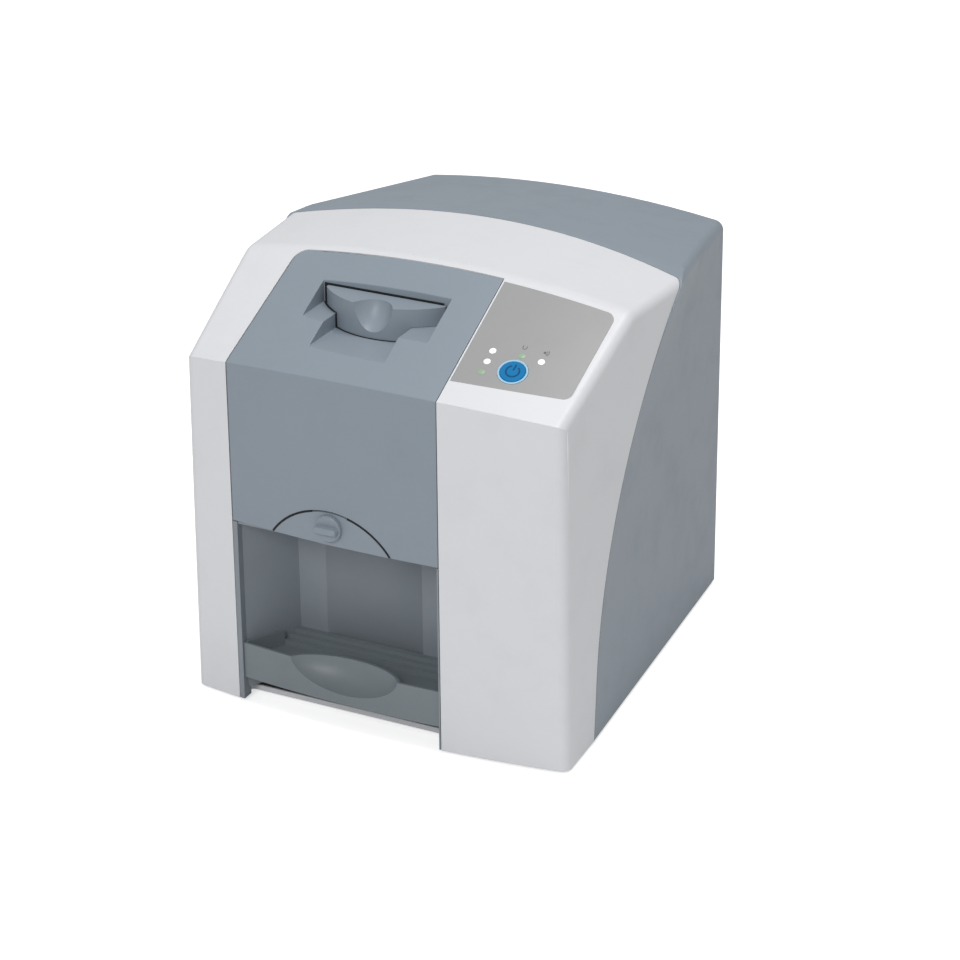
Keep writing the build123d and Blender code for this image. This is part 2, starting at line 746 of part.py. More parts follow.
# Half-moon plate with a flange behind the cover, and the bore of the knob's spindle
MOON_BACK = WALL + FIT + 2.0


def moon_disc(radius, near, far):
    """Half-moon above the cover's lower edge, between two depths behind the bowed front."""
    with BuildPart() as disc:
        with BuildSketch(front(-FORM_REACH)):
            with Locations((MOON_X, MOON_HEIGHT)):
                Circle(radius)
        extrude(amount=-FORM_REACH - 10)
        add(bow_form(near), mode=Mode.INTERSECT)
        add(bow_form(far), mode=Mode.SUBTRACT)
        add(slab(-200, 200, -FORM_REACH, FORM_REACH, 0, COVER_FOOT), mode=Mode.SUBTRACT)
    return disc.part


with BuildPart() as latch_plate:
    add(moon_disc(MOON_RADIUS - MOON_GAP, 0, MOON_BACK))
    add(moon_disc(MOON_RADIUS + MOON_FLANGE, WALL + FIT, MOON_BACK))
    with BuildSketch(front(-FORM_REACH)):
        with Locations((MOON_X, KNOB_HEIGHT)):
            Circle(SPINDLE_DIAMETER / 2 + FIT)
    extrude(amount=-FORM_REACH - 10, mode=Mode.SUBTRACT)
finish(latch_plate.part, "latch_plate")

# Knob: disc with a grip bar, spindle through the plate, and the catch tongue behind it
TONGUE_DEPTH = bow_depth(MOON_X) + MOON_BACK + 3.7
with BuildPart() as latch_knob:
    with BuildSketch(front(KNOB_SEAT)):
        with Locations((MOON_X, KNOB_HEIGHT)):
            Circle(KNOB_DIAMETER / 2)
    extrude(amount=KNOB_DISC)
    chamfer(latch_knob.faces().sort_by(Axis.Y)[0].edges(), length=KNOB_EDGE)
    with BuildSketch(front(KNOB_SEAT - KNOB_DISC + 1)):
        with Locations((MOON_X, KNOB_HEIGHT)):
            SlotOverall(KNOB_DIAMETER - 1.5, GRIP_WIDTH)
    extrude(amount=GRIP_OUT + 1, taper=GRIP_TAPER)
    chamfer(latch_knob.faces().sort_by(Axis.Y)[0].edges(), length=KNOB_EDGE)
    with BuildSketch(front(KNOB_SEAT)):
        with Locations((MOON_X, KNOB_HEIGHT)):
            Circle(SPINDLE_DIAMETER / 2)
    extrude(amount=KNOB_SEAT - TONGUE_DEPTH - TONGUE_THICK)
    with BuildSketch(front(TONGUE_DEPTH)):
        with Locations((MOON_X, KNOB_HEIGHT - TONGUE_REACH / 2)):
            Rectangle(TONGUE_WIDTH, TONGUE_REACH)
    extrude(amount=-TONGUE_THICK)
finish(latch_knob.part, "latch_knob")

# Plate cassette: handle in the recess, and the curved carrier that hangs in front of the drum
HANDLE_REAR = RECESS_REAR - HANDLE_GAP
HANDLE_FOOT = SCOOP_HEIGHT + FIT
HANDLE_FACE = DRUM_DEPTH - HANDLE_RADIUS


def round_taper(top, top_radius, top_depth, foot, foot_radius, foot_depth):
    """Upright cone in the middle of the handle, given by its two end circles."""
    with BuildPart() as form:
        with BuildSketch(level(top)):
            with Locations((SLOT_X, top_depth)):
                Circle(top_radius)
        with BuildSketch(level(foot)):
            with Locations((SLOT_X, foot_depth)):
                Circle(foot_radius)
        loft()
    return form.part


with BuildPart() as plate_cassette:
    with BuildSketch(level(HANDLE_FOOT)):
        with Locations((SLOT_X, DRUM_DEPTH)):
            Circle(HANDLE_RADIUS)
        with Locations((SLOT_X, HANDLE_REAR + 2 * HANDLE_RADIUS)):
            Rectangle(4 * HANDLE_RADIUS, 4 * HANDLE_RADIUS, mode=Mode.SUBTRACT)
    extrude(amount=HANDLE_TOP - HANDLE_FOOT)
    for turn in (-1, 1):
        wing = SLOT_X + turn * (SCOOP_HALF - FIT)
        tip = SLOT_X + turn * 2 * HANDLE_RADIUS
        end = SLOT_X + turn * HANDLE_HALF
        low = slab(min(wing, tip), max(wing, tip), 0, RECESS_REAR, 0, LEDGE_HEIGHT + FIT)
        add(low, mode=Mode.SUBTRACT)
        beyond = slab(min(end, tip), max(end, tip), 0, RECESS_REAR, 0, RIDGE_HEIGHT)
        add(beyond, mode=Mode.SUBTRACT)
    add(
        round_taper(
            HANDLE_TOP,
            TAB_TOP_RADIUS,
            HANDLE_FACE + TAB_TOP_RADIUS - TAB_OUT,
            HANDLE_FOOT,
            TAB_FOOT_RADIUS,
            HANDLE_FACE + TAB_FOOT_RADIUS,
        )
    )
    add(
        round_taper(
            HANDLE_TOP - TAB_RIM,
            TAB_DISH_RADIUS,
            HANDLE_FACE - TAB_OUT + TAB_DISH_DEEP - TAB_DISH_RADIUS,
            HANDLE_FOOT + 2 * TAB_RIM,
            TAB_DISH_RADIUS / 2,
            HANDLE_FACE - TAB_DISH_RADIUS / 2,
        ),
        mode=Mode.SUBTRACT,
    )
    add(slab(-200, 200, HANDLE_REAR, 200, 0, RIDGE_HEIGHT), mode=Mode.SUBTRACT)
    add(
        drum_sector(
            CARRIER_RADIUS - CARRIER_THICK,
            CARRIER_RADIUS,
            CARRIER_SPREAD,
            CARRIER_FOOT,
            HANDLE_FOOT + 1,
        )
    )
finish(plate_cassette.part, "plate_cassette")

# Control label: a thin sheet in its bed, holed for the button and the light windows
with BuildPart() as control_label:
    add(label_space(0.15, LABEL_THICK))
    add(OUTER_FRONT, mode=Mode.INTERSECT)
    with BuildSketch(slope_plane(BUTTON_X, BUTTON_DEPTH, -5)):
        Circle(RING_DIAMETER / 2 + FIT)
    extrude(amount=-15, mode=Mode.SUBTRACT)
    for x, depth in WINDOW_PLACES:
        with BuildSketch(slope_plane(x, depth, -5)):
            Circle(WINDOW_DIAMETER / 2 + FIT)
        extrude(amount=-15, mode=Mode.SUBTRACT)
finish(control_label.part, "control_label")

# Light ring round the button, with a flange under the housing wall
RING_BORE = BUTTON_DIAMETER + 2 * FIT
with BuildPart() as button_ring:
    with BuildSketch(slope_plane(BUTTON_X, BUTTON_DEPTH, WALL + FIT + 1)):
        Circle(RING_DIAMETER / 2)
        Circle(RING_BORE / 2, mode=Mode.SUBTRACT)
    extrude(amount=WALL + FIT + 1.4)
    with BuildSketch(slope_plane(BUTTON_X, BUTTON_DEPTH, WALL + FIT + 1)):
        Circle(RING_DIAMETER / 2 + 2)
        Circle(RING_BORE / 2, mode=Mode.SUBTRACT)
    extrude(amount=1)
finish(button_ring.part, "button_ring")

# Power button: domed cap with a stem down to its switch
SWITCH_TALL = 3.5
with BuildPart() as power_button:
    with BuildSketch(slope_plane(BUTTON_X, BUTTON_DEPTH, BUTTON_SUNK)):
        Circle(BUTTON_DIAMETER / 2)
    extrude(amount=BUTTON_SUNK + BUTTON_PROUD)
    chamfer(power_button.faces().sort_by(Axis.Z)[-1].edges(), length=BUTTON_EDGE)
    stem_end = BOARD_DROP - SWITCH_TALL - BUTTON_TRAVEL - FIT
    with BuildSketch(slope_plane(BUTTON_X, BUTTON_DEPTH, stem_end)):
        Circle(BUTTON_STEM / 2)
    extrude(amount=stem_end - BUTTON_SUNK + 1)
finish(power_button.part, "power_button")

# Light windows: clear rods from the label down to the lamps of the board
with BuildPart() as light_windows:
    for x, depth in WINDOW_PLACES:
        with BuildSketch(slope_plane(x, depth, BOARD_DROP - 1.2)):
            Circle(WINDOW_DIAMETER / 2)
        extrude(amount=BOARD_DROP - 1.2 + 0.2)
finish(light_windows.part, "light_windows")

# Control board with the switch and one lamp under each window
with BuildPart() as control_board:
    with BuildSketch(slope_plane(BOARD_X, BOARD_DEPTH, BOARD_DROP)):
        Rectangle(BOARD_WIDE, BOARD_LONG)
    extrude(amount=-BOARD_THICK)
    with BuildSketch(slope_plane(BUTTON_X, BUTTON_DEPTH, BOARD_DROP + 0.8)):
        Rectangle(6, 6)
    extrude(amount=SWITCH_TALL + 0.8)
    for x, depth in WINDOW_PLACES:
        with BuildSketch(slope_plane(x, depth, BOARD_DROP + 0.8)):
            Rectangle(3, 3)
        extrude(amount=1.6)
finish(control_board.part, "control_board")


def bay_funnel(shrink=0.0):
    """Plan of the bay without its niche; it narrows from the front opening to the rear wall."""
    Polygon(
        (BAY_LEFT, -FORM_REACH),
        (BAY_LEFT, 0),
        (BAY_REAR_LEFT, BAY_DEPTH),
        (BAY_REAR_RIGHT, BAY_DEPTH),
        (BAY_RIGHT, 0),
        (BAY_RIGHT, -FORM_REACH),
        align=None,
    )
    if shrink:
        offset(amount=-shrink, kind=Kind.INTERSECTION)


def bay_outline():
    """Plan of the bay with the hollow niche in its rear wall."""
    bay_funnel()
    niche_radius = (NICHE_HALF**2 + NICHE_DEPTH**2) / (2 * NICHE_DEPTH)
    with Locations((NICHE_X, BAY_DEPTH + NICHE_DEPTH - niche_radius)):
        Circle(niche_radius)


# Bay liner: side strips flush with the front, funnel walls, niche, floor, ceiling and runners
LINER_FOOT = LIP_THICK + BASE_THICK
LINER_TOP = COVER_FOOT - COVER_GAP
LINER_FLOOR = LINER_FOOT + LINER_WALL
KEEPER_DEPTH = TONGUE_DEPTH - TONGUE_GAP
RAIL_FAR = 34.0
with BuildPart() as bay_liner:
    with BuildSketch(level(LINER_FOOT)):
        bay_outline()
        offset(amount=LINER_WALL, kind=Kind.INTERSECTION)
    extrude(amount=LINER_TOP - LINER_FOOT)
    strip_left = OPENING_LEFT + 0.6
    strip_right = OPENING_RIGHT - 0.6
    add(slab(strip_left, BAY_LEFT, -FORM_REACH, 4, 0.5, LINER_TOP))
    add(slab(BAY_RIGHT, strip_right, -FORM_REACH, 4, 0.5, LINER_TOP))
    with BuildSketch(level(LINER_FLOOR)):
        bay_outline()
    extrude(amount=LINER_TOP, mode=Mode.SUBTRACT)
    add(slab(BAY_LEFT, BAY_RIGHT, -FORM_REACH, LIP_FRONT + 2, 0, LINER_FLOOR), mode=Mode.SUBTRACT)
    with BuildSketch(level(LINER_TOP - LINER_WALL)):
        bay_funnel()
        with Locations((0, KEEPER_DEPTH - FORM_REACH)):
            Rectangle(500, 2 * FORM_REACH, mode=Mode.SUBTRACT)
    extrude(amount=LINER_WALL)
    add(slab(strip_left, strip_right, -FORM_REACH, REAR_DEPTH, 0, LINER_TOP), mode=Mode.INTERSECT)
    add(bow_form(0), mode=Mode.INTERSECT)
    for x in (BAY_REAR_LEFT - RAIL_WIDTH / 2, BAY_REAR_RIGHT + RAIL_WIDTH / 2):
        rail_left = x - RAIL_WIDTH / 2
        rail_top = TRAY_FOOT - FIT
        add(slab(rail_left, rail_left + RAIL_WIDTH, LIP_FRONT + 2, RAIL_FAR, LINER_FLOOR, rail_top))
finish(bay_liner.part, "bay_liner")

# Keeper: a steel strip on the front edge of the liner's ceiling that the tongue hooks behind
with BuildPart() as latch_keeper:
    add(
        slab(
            MOON_X - KEEPER_HALF,
            MOON_X + KEEPER_HALF,
            KEEPER_DEPTH - KEEPER_THICK,
            KEEPER_DEPTH,
            LINER_TOP - LINER_WALL - 1,
            LINER_TOP + KEEPER_TALL,
        )
    )
finish(latch_keeper.part, "latch_keeper")


def scoop_form(grow):
    """Rounded body of the finger scoop, an ellipse turned about its long axis."""
    with BuildPart() as form:
        with BuildSketch(front(SCOOP_DEPTH)):
            with Locations((SCOOP_X, SCOOP_LEVEL)):
                Ellipse(SCOOP_LONG + grow, SCOOP_ROUND + grow)
            with Locations((SCOOP_X, SCOOP_LEVEL - SCOOP_LONG)):
                Rectangle(3 * SCOOP_LONG, 2 * SCOOP_LONG, mode=Mode.SUBTRACT)
        revolve(axis=Axis((0, FRONT_Y + SCOOP_DEPTH, FOOT_OUT + SCOOP_LEVEL), (1, 0, 0)))
    return form.part


# Collecting tray: bowed front with the scoop dished into it, trough and stepped rear
with BuildPart() as tray_trough:
    with BuildSketch(level(TRAY_FLOOR)):
        bay_funnel(FIT + TRAY_WALL)
    extrude(amount=TRAY_TOP)
    add(bow_form(TRAY_SETBACK + TRAY_WALL), mode=Mode.INTERSECT)
    add(slab(-200, 200, TRAY_TROUGH_REAR, 200, 0, 200), mode=Mode.SUBTRACT)
with BuildPart() as tray_dish:
    add(scoop_form(TRAY_WALL))
    dish_space = slab(-200, 200, -FORM_REACH, TRAY_TROUGH_REAR, TRAY_FOOT, TRAY_TOP)
    add(dish_space, mode=Mode.INTERSECT)
    add(bow_form(TRAY_SETBACK), mode=Mode.INTERSECT)
with BuildPart() as collecting_tray:
    with BuildSketch(level(TRAY_FOOT)):
        bay_funnel(FIT)
    extrude(amount=TRAY_TOP - TRAY_FOOT)
    add(bow_form(TRAY_SETBACK), mode=Mode.INTERSECT)
    add(tray_trough.part, mode=Mode.SUBTRACT)
    add(tray_dish.part)
    add(scoop_form(0), mode=Mode.SUBTRACT)
    for step in range(TRAY_STEPS):
        near = TRAY_TROUGH_REAR + step * STEP_DEEP
        rise = STEP_FIRST + step * STEP_RISE
        far = near + STEP_DEEP if step < TRAY_STEPS - 1 else BAY_DEPTH
        add(slab(-200, 200, near, far, rise, 100), mode=Mode.SUBTRACT)
finish(collecting_tray.part, "collecting_tray")

# Mains inlet: flanged body with its cavity and three blades
BEZEL_REAR = PANEL_REAR + BEZEL_THICK
with BuildPart() as mains_inlet:
    with BuildSketch(front(BEZEL_REAR)):
        with Locations((INLET_X, INLET_HEIGHT)):
            RectangleRounded(INLET_WIDE + 4, INLET_TALL + 4, 4)
    extrude(amount=BEZEL_THICK)
    with BuildSketch(front(BEZEL_REAR)):
        with Locations((INLET_X, INLET_HEIGHT)):
            RectangleRounded(INLET_WIDE, INLET_TALL, 4)
    extrude(amount=INLET_DEEP)
    with BuildSketch(front(BEZEL_REAR)) as cavity:
        with Locations((INLET_X, INLET_HEIGHT)):
            Rectangle(INLET_WIDE - 4, INLET_TALL - 5)
        chamfer(cavity.vertices().sort_by(Axis.Z)[-2:], length=4)
    extrude(amount=INLET_DEEP - 4, mode=Mode.SUBTRACT)
    with BuildSketch(front(BEZEL_REAR - 6)):
        outer_pins = [(INLET_X + turn * 7, INLET_HEIGHT - 2) for turn in (-1, 1)]
        with Locations((INLET_X, INLET_HEIGHT + 2), *outer_pins):
            Rectangle(2, 4)
    extrude(amount=INLET_DEEP - 9)
finish(mains_inlet.part, "mains_inlet")

# Mains switch: bezel and body, with the rocker on its trunnions
ROCKER_AXIS = BEZEL_REAR - 8.5
ROCKER_HALF = SWITCH_WIDE / 2 - 1.4 - FIT
ROCKER_REACH = SWITCH_HIGH / 2 - 2.8
with BuildPart() as mains_switch:
    with BuildSketch(front(BEZEL_REAR)):
        with Locations((SWITCH_X, INLET_HEIGHT)):
            RectangleRounded(SWITCH_WIDE + 3, SWITCH_HIGH + 3, 1.5)
    extrude(amount=BEZEL_THICK)
    with BuildSketch(front(BEZEL_REAR)):
        with Locations((SWITCH_X, INLET_HEIGHT)):
            Rectangle(SWITCH_WIDE, SWITCH_HIGH)
    extrude(amount=25)
    with BuildSketch(front(BEZEL_REAR)):
        with Locations((SWITCH_X, INLET_HEIGHT)):
            Rectangle(2 * (ROCKER_HALF + FIT), SWITCH_HIGH - 3)
    extrude(amount=18, mode=Mode.SUBTRACT)
    with BuildSketch(side(SWITCH_X - SWITCH_WIDE)):
        with Locations((ROCKER_AXIS, INLET_HEIGHT)):
            Circle(1.5 + FIT)
    extrude(amount=2 * SWITCH_WIDE, mode=Mode.SUBTRACT)
finish(mains_switch.part, "mains_switch")

with BuildPart() as mains_rocker:
    with BuildSketch(side(SWITCH_X - ROCKER_HALF)):
        with Locations(Location((ROCKER_AXIS, INLET_HEIGHT), -ROCKER_TILT)):
            Polygon(
                (5.5, 0),
                (7.5, ROCKER_REACH),
                (4.0, ROCKER_REACH),
                (-3.0, 3.5),
                (-3.0, -3.5),
                (4.0, -ROCKER_REACH),
                (7.5, -ROCKER_REACH),
                align=None,
            )
    extrude(amount=2 * ROCKER_HALF)
    with BuildSketch(side(SWITCH_X - ROCKER_HALF - 1.2)):
        with Locations((ROCKER_AXIS, INLET_HEIGHT)):
            Circle(1.5)
    extrude(amount=2 * ROCKER_HALF + 2.4)
finish(mains_rocker.part, "mains_rocker")


def port_box(x, width, tall):
    """Socket on the main board that reaches out through the rear panel."""
    middle = PORT_FOOT + tall / 2
    with BuildPart() as box:
        with BuildSketch(front(PANEL_REAR + 1)):
            with Locations((x, middle)):
                Rectangle(width, tall)
        extrude(amount=PORT_DEEP)
        with BuildSketch(front(PANEL_REAR + 1)):
            with Locations((x, middle)):
                Rectangle(width - 3.2, tall - 3.2)
        extrude(amount=PORT_DEEP - 3, mode=Mode.SUBTRACT)
    return box.part


# Data and network ports, with the tongue of the one and the contact comb of the other
with BuildPart() as usb_port:
    add(port_box(USB_X, USB_WIDE, USB_TALL))
    with BuildSketch(front(PANEL_REAR - 5)):
        with Locations((USB_X, PORT_FOOT + USB_TALL / 2)):
            Rectangle(USB_WIDE - 6.4, 3)
    extrude(amount=PORT_DEEP - 8)
finish(usb_port.part, "usb_port")

with BuildPart() as network_port:
    add(port_box(NETWORK_X, NETWORK_WIDE, NETWORK_TALL))
    with BuildSketch(front(PANEL_REAR - 6)):
        with Locations((NETWORK_X, PORT_FOOT + NETWORK_TALL - 2.6)):
            with GridLocations(1.2, 1, 8, 1):
                Rectangle(0.5, 2.4)
    extrude(amount=PORT_DEEP - 9)
finish(network_port.part, "network_port")

# Fan: square frame with four spokes and a bearing hub, and the rotor that turns in it
FAN_BORE = FAN_SIZE / 2 - 2
FAN_NEAR = PANEL_FRONT - FAN_THICK
with BuildPart() as fan_frame:
    with BuildSketch(front(PANEL_FRONT)):
        with Locations((FAN_X, FAN_HEIGHT)):
            RectangleRounded(FAN_SIZE, FAN_SIZE, 4)
            Circle(FAN_BORE, mode=Mode.SUBTRACT)
            with GridLocations(FAN_SIZE - 8.5, FAN_SIZE - 8.5, 2, 2):
                Circle(2.2, mode=Mode.SUBTRACT)
    extrude(amount=FAN_THICK)
    with BuildSketch(front(FAN_NEAR + 3)):
        with Locations((FAN_X, FAN_HEIGHT)):
            Circle(FAN_HUB)
            with PolarLocations((FAN_HUB + FAN_BORE) / 2, 4, start_angle=45):
                Rectangle(FAN_BORE - FAN_HUB + 2, 4)
    extrude(amount=3)
    with BuildSketch(front(FAN_NEAR + 12)):
        with Locations((FAN_X, FAN_HEIGHT)):
            Circle(6)
    extrude(amount=10)
    with BuildSketch(front(FAN_NEAR + 12)):
        with Locations((FAN_X, FAN_HEIGHT)):
            Circle(1.5 + FIT)
    extrude(amount=10, mode=Mode.SUBTRACT)
finish(fan_frame.part, "fan_frame")

BLADE_RADIUS = FAN_BORE - 1.5
with BuildPart() as fan_rotor:
    with BuildSketch(front(PANEL_FRONT - 2)):
        with Locations((FAN_X, FAN_HEIGHT)):
            Circle(FAN_HUB)
    extrude(amount=FAN_THICK - 6)
    with BuildSketch(front(PANEL_FRONT - 4)):
        with Locations((FAN_X, FAN_HEIGHT)):
            Circle(FAN_HUB - 1.5)
            Circle(1.5, mode=Mode.SUBTRACT)
    extrude(amount=FAN_THICK, mode=Mode.SUBTRACT)
    with BuildSketch(front(PANEL_FRONT - 3)):
        with Locations((FAN_X, FAN_HEIGHT)):
            Circle(1.5)
    extrude(amount=FAN_THICK - 9)
    for blade in range(FAN_BLADES):
        turn = radians(360 * blade / FAN_BLADES)
        outward = Vector(cos(turn), 0, sin(turn))
        root = Vector(FAN_X, FRONT_Y + PANEL_FRONT - FAN_THICK / 2 + 1, FOOT_OUT + FAN_HEIGHT)
        with BuildSketch(Plane(origin=root + outward * (FAN_HUB - 1), x_dir=(0, 1, 0), z_dir=outward)):
            Rectangle(20, 1.5, rotation=35)
        extrude(amount=BLADE_RADIUS - FAN_HUB)
finish(fan_rotor.part, "fan_rotor")

# Chassis of the scanning unit: a folded frame with the two shelves that hold the drum
CHASSIS_FOOT = LIP_THICK + BASE_THICK
DRUM_SEAT = DRUM_RADIUS - 0.5
SHELF_NEAR = DRUM_DEPTH + 4
LOWER_MIDDLE = (CHASSIS_FOOT + DRUM_FOOT - SHELF_THICK) / 2
LOWER_WINDOW = DRUM_FOOT - CHASSIS_FOOT - 2 * WINDOW_MARGIN
UPPER_MIDDLE = (DRUM_FOOT + DRUM_TOP) / 2
UPPER_WINDOW = DRUM_TALL - WINDOW_MARGIN
with BuildPart() as chassis:
    with BuildSketch(level(CHASSIS_FOOT)):
        with Locations((SLOT_X, (FRAME_FRONT + FRAME_REAR) / 2)):
            Rectangle(2 * FRAME_HALF, FRAME_REAR - FRAME_FRONT)
        with Locations((SLOT_X, (FRAME_FRONT + FRAME_REAR) / 2 - FRAME_WALL)):
            Rectangle(2 * (FRAME_HALF - FRAME_WALL), FRAME_REAR - FRAME_FRONT, mode=Mode.SUBTRACT)
    extrude(amount=DRUM_TOP + SHELF_THICK - CHASSIS_FOOT)
    with BuildSketch(level(DRUM_FOOT - SHELF_THICK), level(DRUM_TOP)):
        with Locations((SLOT_X, (SHELF_NEAR + FRAME_REAR) / 2)):
            Rectangle(2 * FRAME_HALF, FRAME_REAR - SHELF_NEAR)
        with Locations((SLOT_X, DRUM_DEPTH)):
            Circle(DRUM_SEAT)
        with Locations((SLOT_X, TUBE_DEPTH)):
            Circle(GUIDE_DIAMETER / 2 + FIT, mode=Mode.SUBTRACT)
    extrude(amount=SHELF_THICK)
    with BuildSketch(level(CHASSIS_FOOT)):
        for turn in (-1, 1):
            with Locations((SLOT_X + turn * (FRAME_HALF + 5), (FRAME_FRONT + FRAME_REAR) / 2)):
                Rectangle(12, FRAME_REAR - FRAME_FRONT)
    extrude(amount=FRAME_WALL)
    with BuildSketch(side(SLOT_X - 2 * FRAME_HALF)):
        with Locations(((FRAME_FRONT + FRAME_REAR) / 2, LOWER_MIDDLE)):
            Rectangle(WINDOW_WIDE, LOWER_WINDOW)
        with Locations(((SHELF_NEAR + FRAME_REAR) / 2, UPPER_MIDDLE)):
            Rectangle(WINDOW_WIDE, UPPER_WINDOW)
    extrude(amount=4 * FRAME_HALF, mode=Mode.SUBTRACT)
    with BuildSketch(front(FRAME_REAR + 5)):
        with Locations((SLOT_X, LOWER_MIDDLE)):
            Rectangle(BACK_WINDOW, LOWER_WINDOW)
        with Locations((SLOT_X, UPPER_MIDDLE)):
            Rectangle(BACK_WINDOW, UPPER_WINDOW)
    extrude(amount=10, mode=Mode.SUBTRACT)
finish(chassis.part, "chassis")

# Guide drum with the slit that the laser beam leaves through
with BuildPart() as guide_drum:
    with BuildSketch(level(DRUM_FOOT)):
        with Locations((SLOT_X, DRUM_DEPTH)):
            Circle(DRUM_RADIUS)
            Circle(DRUM_RADIUS - DRUM_WALL, mode=Mode.SUBTRACT)
    extrude(amount=DRUM_TOP - DRUM_FOOT)
    add(
        drum_sector(
            DRUM_RADIUS / 2,
            DRUM_RADIUS + 5,
            80,
            SLIT_HEIGHT - SLIT_GAP / 2,
            SLIT_HEIGHT + SLIT_GAP / 2,
        ),
        mode=Mode.SUBTRACT,
    )
finish(guide_drum.part, "guide_drum")

# Belt cradle: arched plate round the drum with bearing ears, windows and motor brackets
GEAR_DISTANCE = GEAR_MODULE * (GEAR_TEETH + PINION_TEETH) / 2 + 0.1
with BuildPart() as belt_cradle:
    add(
        drum_sector(
            CRADLE_RADIUS - CRADLE_WALL, CRADLE_RADIUS, CRADLE_SPREAD, CRADLE_FOOT, CRADLE_TOP
        )
    )
    for turn in (-1, 1):
        reach = turn * (FRAME_HALF - FRAME_WALL)
        edge = turn * (FRAME_HALF - FRAME_WALL - 3.5)
        add(
            slab(
                SLOT_X + min(reach, edge),
                SLOT_X + max(reach, edge),
                DRUM_DEPTH - 44,
                FRAME_FRONT + 20,
                CRADLE_FOOT,
                CRADLE_TOP,
            )
        )
        for height in (ROLLER_LOWER, ROLLER_UPPER):
            for ear in (-EAR_OFFSET, EAR_OFFSET):
                with BuildSketch(drum_axle(turn * ROLLER_ANGLE, height, ear - EAR_THICK / 2)):
                    with Locations((0, 3)):
                        Rectangle(14, 19)
                    Circle(ROLLER_SHAFT / 2 + FIT, mode=Mode.SUBTRACT)
                extrude(amount=EAR_THICK)
        near = turn * BRACKET_OFFSET - BRACKET_THICK / 2
        with BuildSketch(drum_axle(turn * ROLLER_ANGLE, ROLLER_LOWER, near)):
            with Locations((6, 18)):
                Rectangle(MOTOR_DIAMETER + 14, 22)
            with Locations((0, GEAR_DISTANCE)):
                Circle(4, mode=Mode.SUBTRACT)
        extrude(amount=BRACKET_THICK)
        face = turn * (BRACKET_OFFSET + BRACKET_THICK / 2)
        clear = min(face, face + turn * 24)
        with BuildSketch(drum_axle(turn * ROLLER_ANGLE, ROLLER_LOWER, clear)):
            with Locations((0, GEAR_DISTANCE)):
                Rectangle(MOTOR_DIAMETER + 2, MOTOR_DIAMETER + 12)
        extrude(amount=24, mode=Mode.SUBTRACT)
        start = turn * GEAR_OFFSET - GEAR_WIDTH / 2 - 1
        with BuildSketch(drum_axle(turn * ROLLER_ANGLE, ROLLER_LOWER, start)):
            with Locations((0, 10)):
                Rectangle(26, 30)
        extrude(amount=GEAR_WIDTH + 2, mode=Mode.SUBTRACT)
    for angle in (-ROLLER_ANGLE, 0, ROLLER_ANGLE):
        with BuildSketch(drum_plane(angle, (ROLLER_LOWER + ROLLER_UPPER) / 2, DRUM_RADIUS + 5)):
            Rectangle(24, ROLLER_UPPER - ROLLER_LOWER - 30)
        extrude(amount=40, mode=Mode.SUBTRACT)
finish(belt_cradle.part, "belt_cradle")


def toothed_disc(teeth, phase):
    """Outline of a spur gear, a tooth standing at the phase angle."""
    pitch = GEAR_MODULE * teeth / 2
    root = pitch - 1.25 * GEAR_MODULE
    tip = pitch + GEAR_MODULE
    RegularPolygon(root, teeth, rotation=phase)
    with PolarLocations(0, teeth, start_angle=phase):
        flank = [(root - 0.4, 0.95), (pitch, 0.55), (tip, 0.25)]
        Polygon(*flank, *[(out, -across) for out, across in flank[::-1]], align=None)


def roller(turn, height):
    """Shaft with two pulleys in the ears of the cradle."""
    with BuildPart() as body:
        with BuildSketch(drum_axle(turn * ROLLER_ANGLE, height, -SHAFT_HALF)):
            Circle(ROLLER_SHAFT / 2)
        extrude(amount=2 * SHAFT_HALF)
        for place in (-PULLEY_OFFSET, PULLEY_OFFSET):
            with BuildSketch(drum_axle(turn * ROLLER_ANGLE, height, place - PULLEY_WIDTH / 2)):
                Circle(PULLEY_RADIUS)
            extrude(amount=PULLEY_WIDTH)
    return body.part


def geared_roller(turn):
    """Lower roller with its gear on the outer end of the shaft."""
    start = turn * GEAR_OFFSET - GEAR_WIDTH / 2
    with BuildPart() as body:
        add(roller(turn, ROLLER_LOWER))
        with BuildSketch(drum_axle(turn * ROLLER_ANGLE, ROLLER_LOWER, start)):
            toothed_disc(GEAR_TEETH, 90)
        extrude(amount=GEAR_WIDTH)
        shaft_start = min(0, turn * GEAR_OFFSET)
        with BuildSketch(drum_axle(turn * ROLLER_ANGLE, ROLLER_LOWER, shaft_start)):
            Circle(ROLLER_SHAFT / 2)
        extrude(amount=GEAR_OFFSET)
    return body.part


def belt_pair(turn):
    """Two endless belts from the lower to the upper pulleys."""
    middle = (ROLLER_LOWER + ROLLER_UPPER) / 2
    span = ROLLER_UPPER - ROLLER_LOWER
    inner = PULLEY_RADIUS + FIT
    with BuildPart() as belts:
        for place in (-PULLEY_OFFSET, PULLEY_OFFSET):
            with BuildSketch(drum_axle(turn * ROLLER_ANGLE, middle, place - BELT_WIDTH / 2)):
                SlotCenterToCenter(span, 2 * (inner + BELT_THICK))
                SlotCenterToCenter(span, 2 * inner, mode=Mode.SUBTRACT)
            extrude(amount=BELT_WIDTH)
    return belts.part


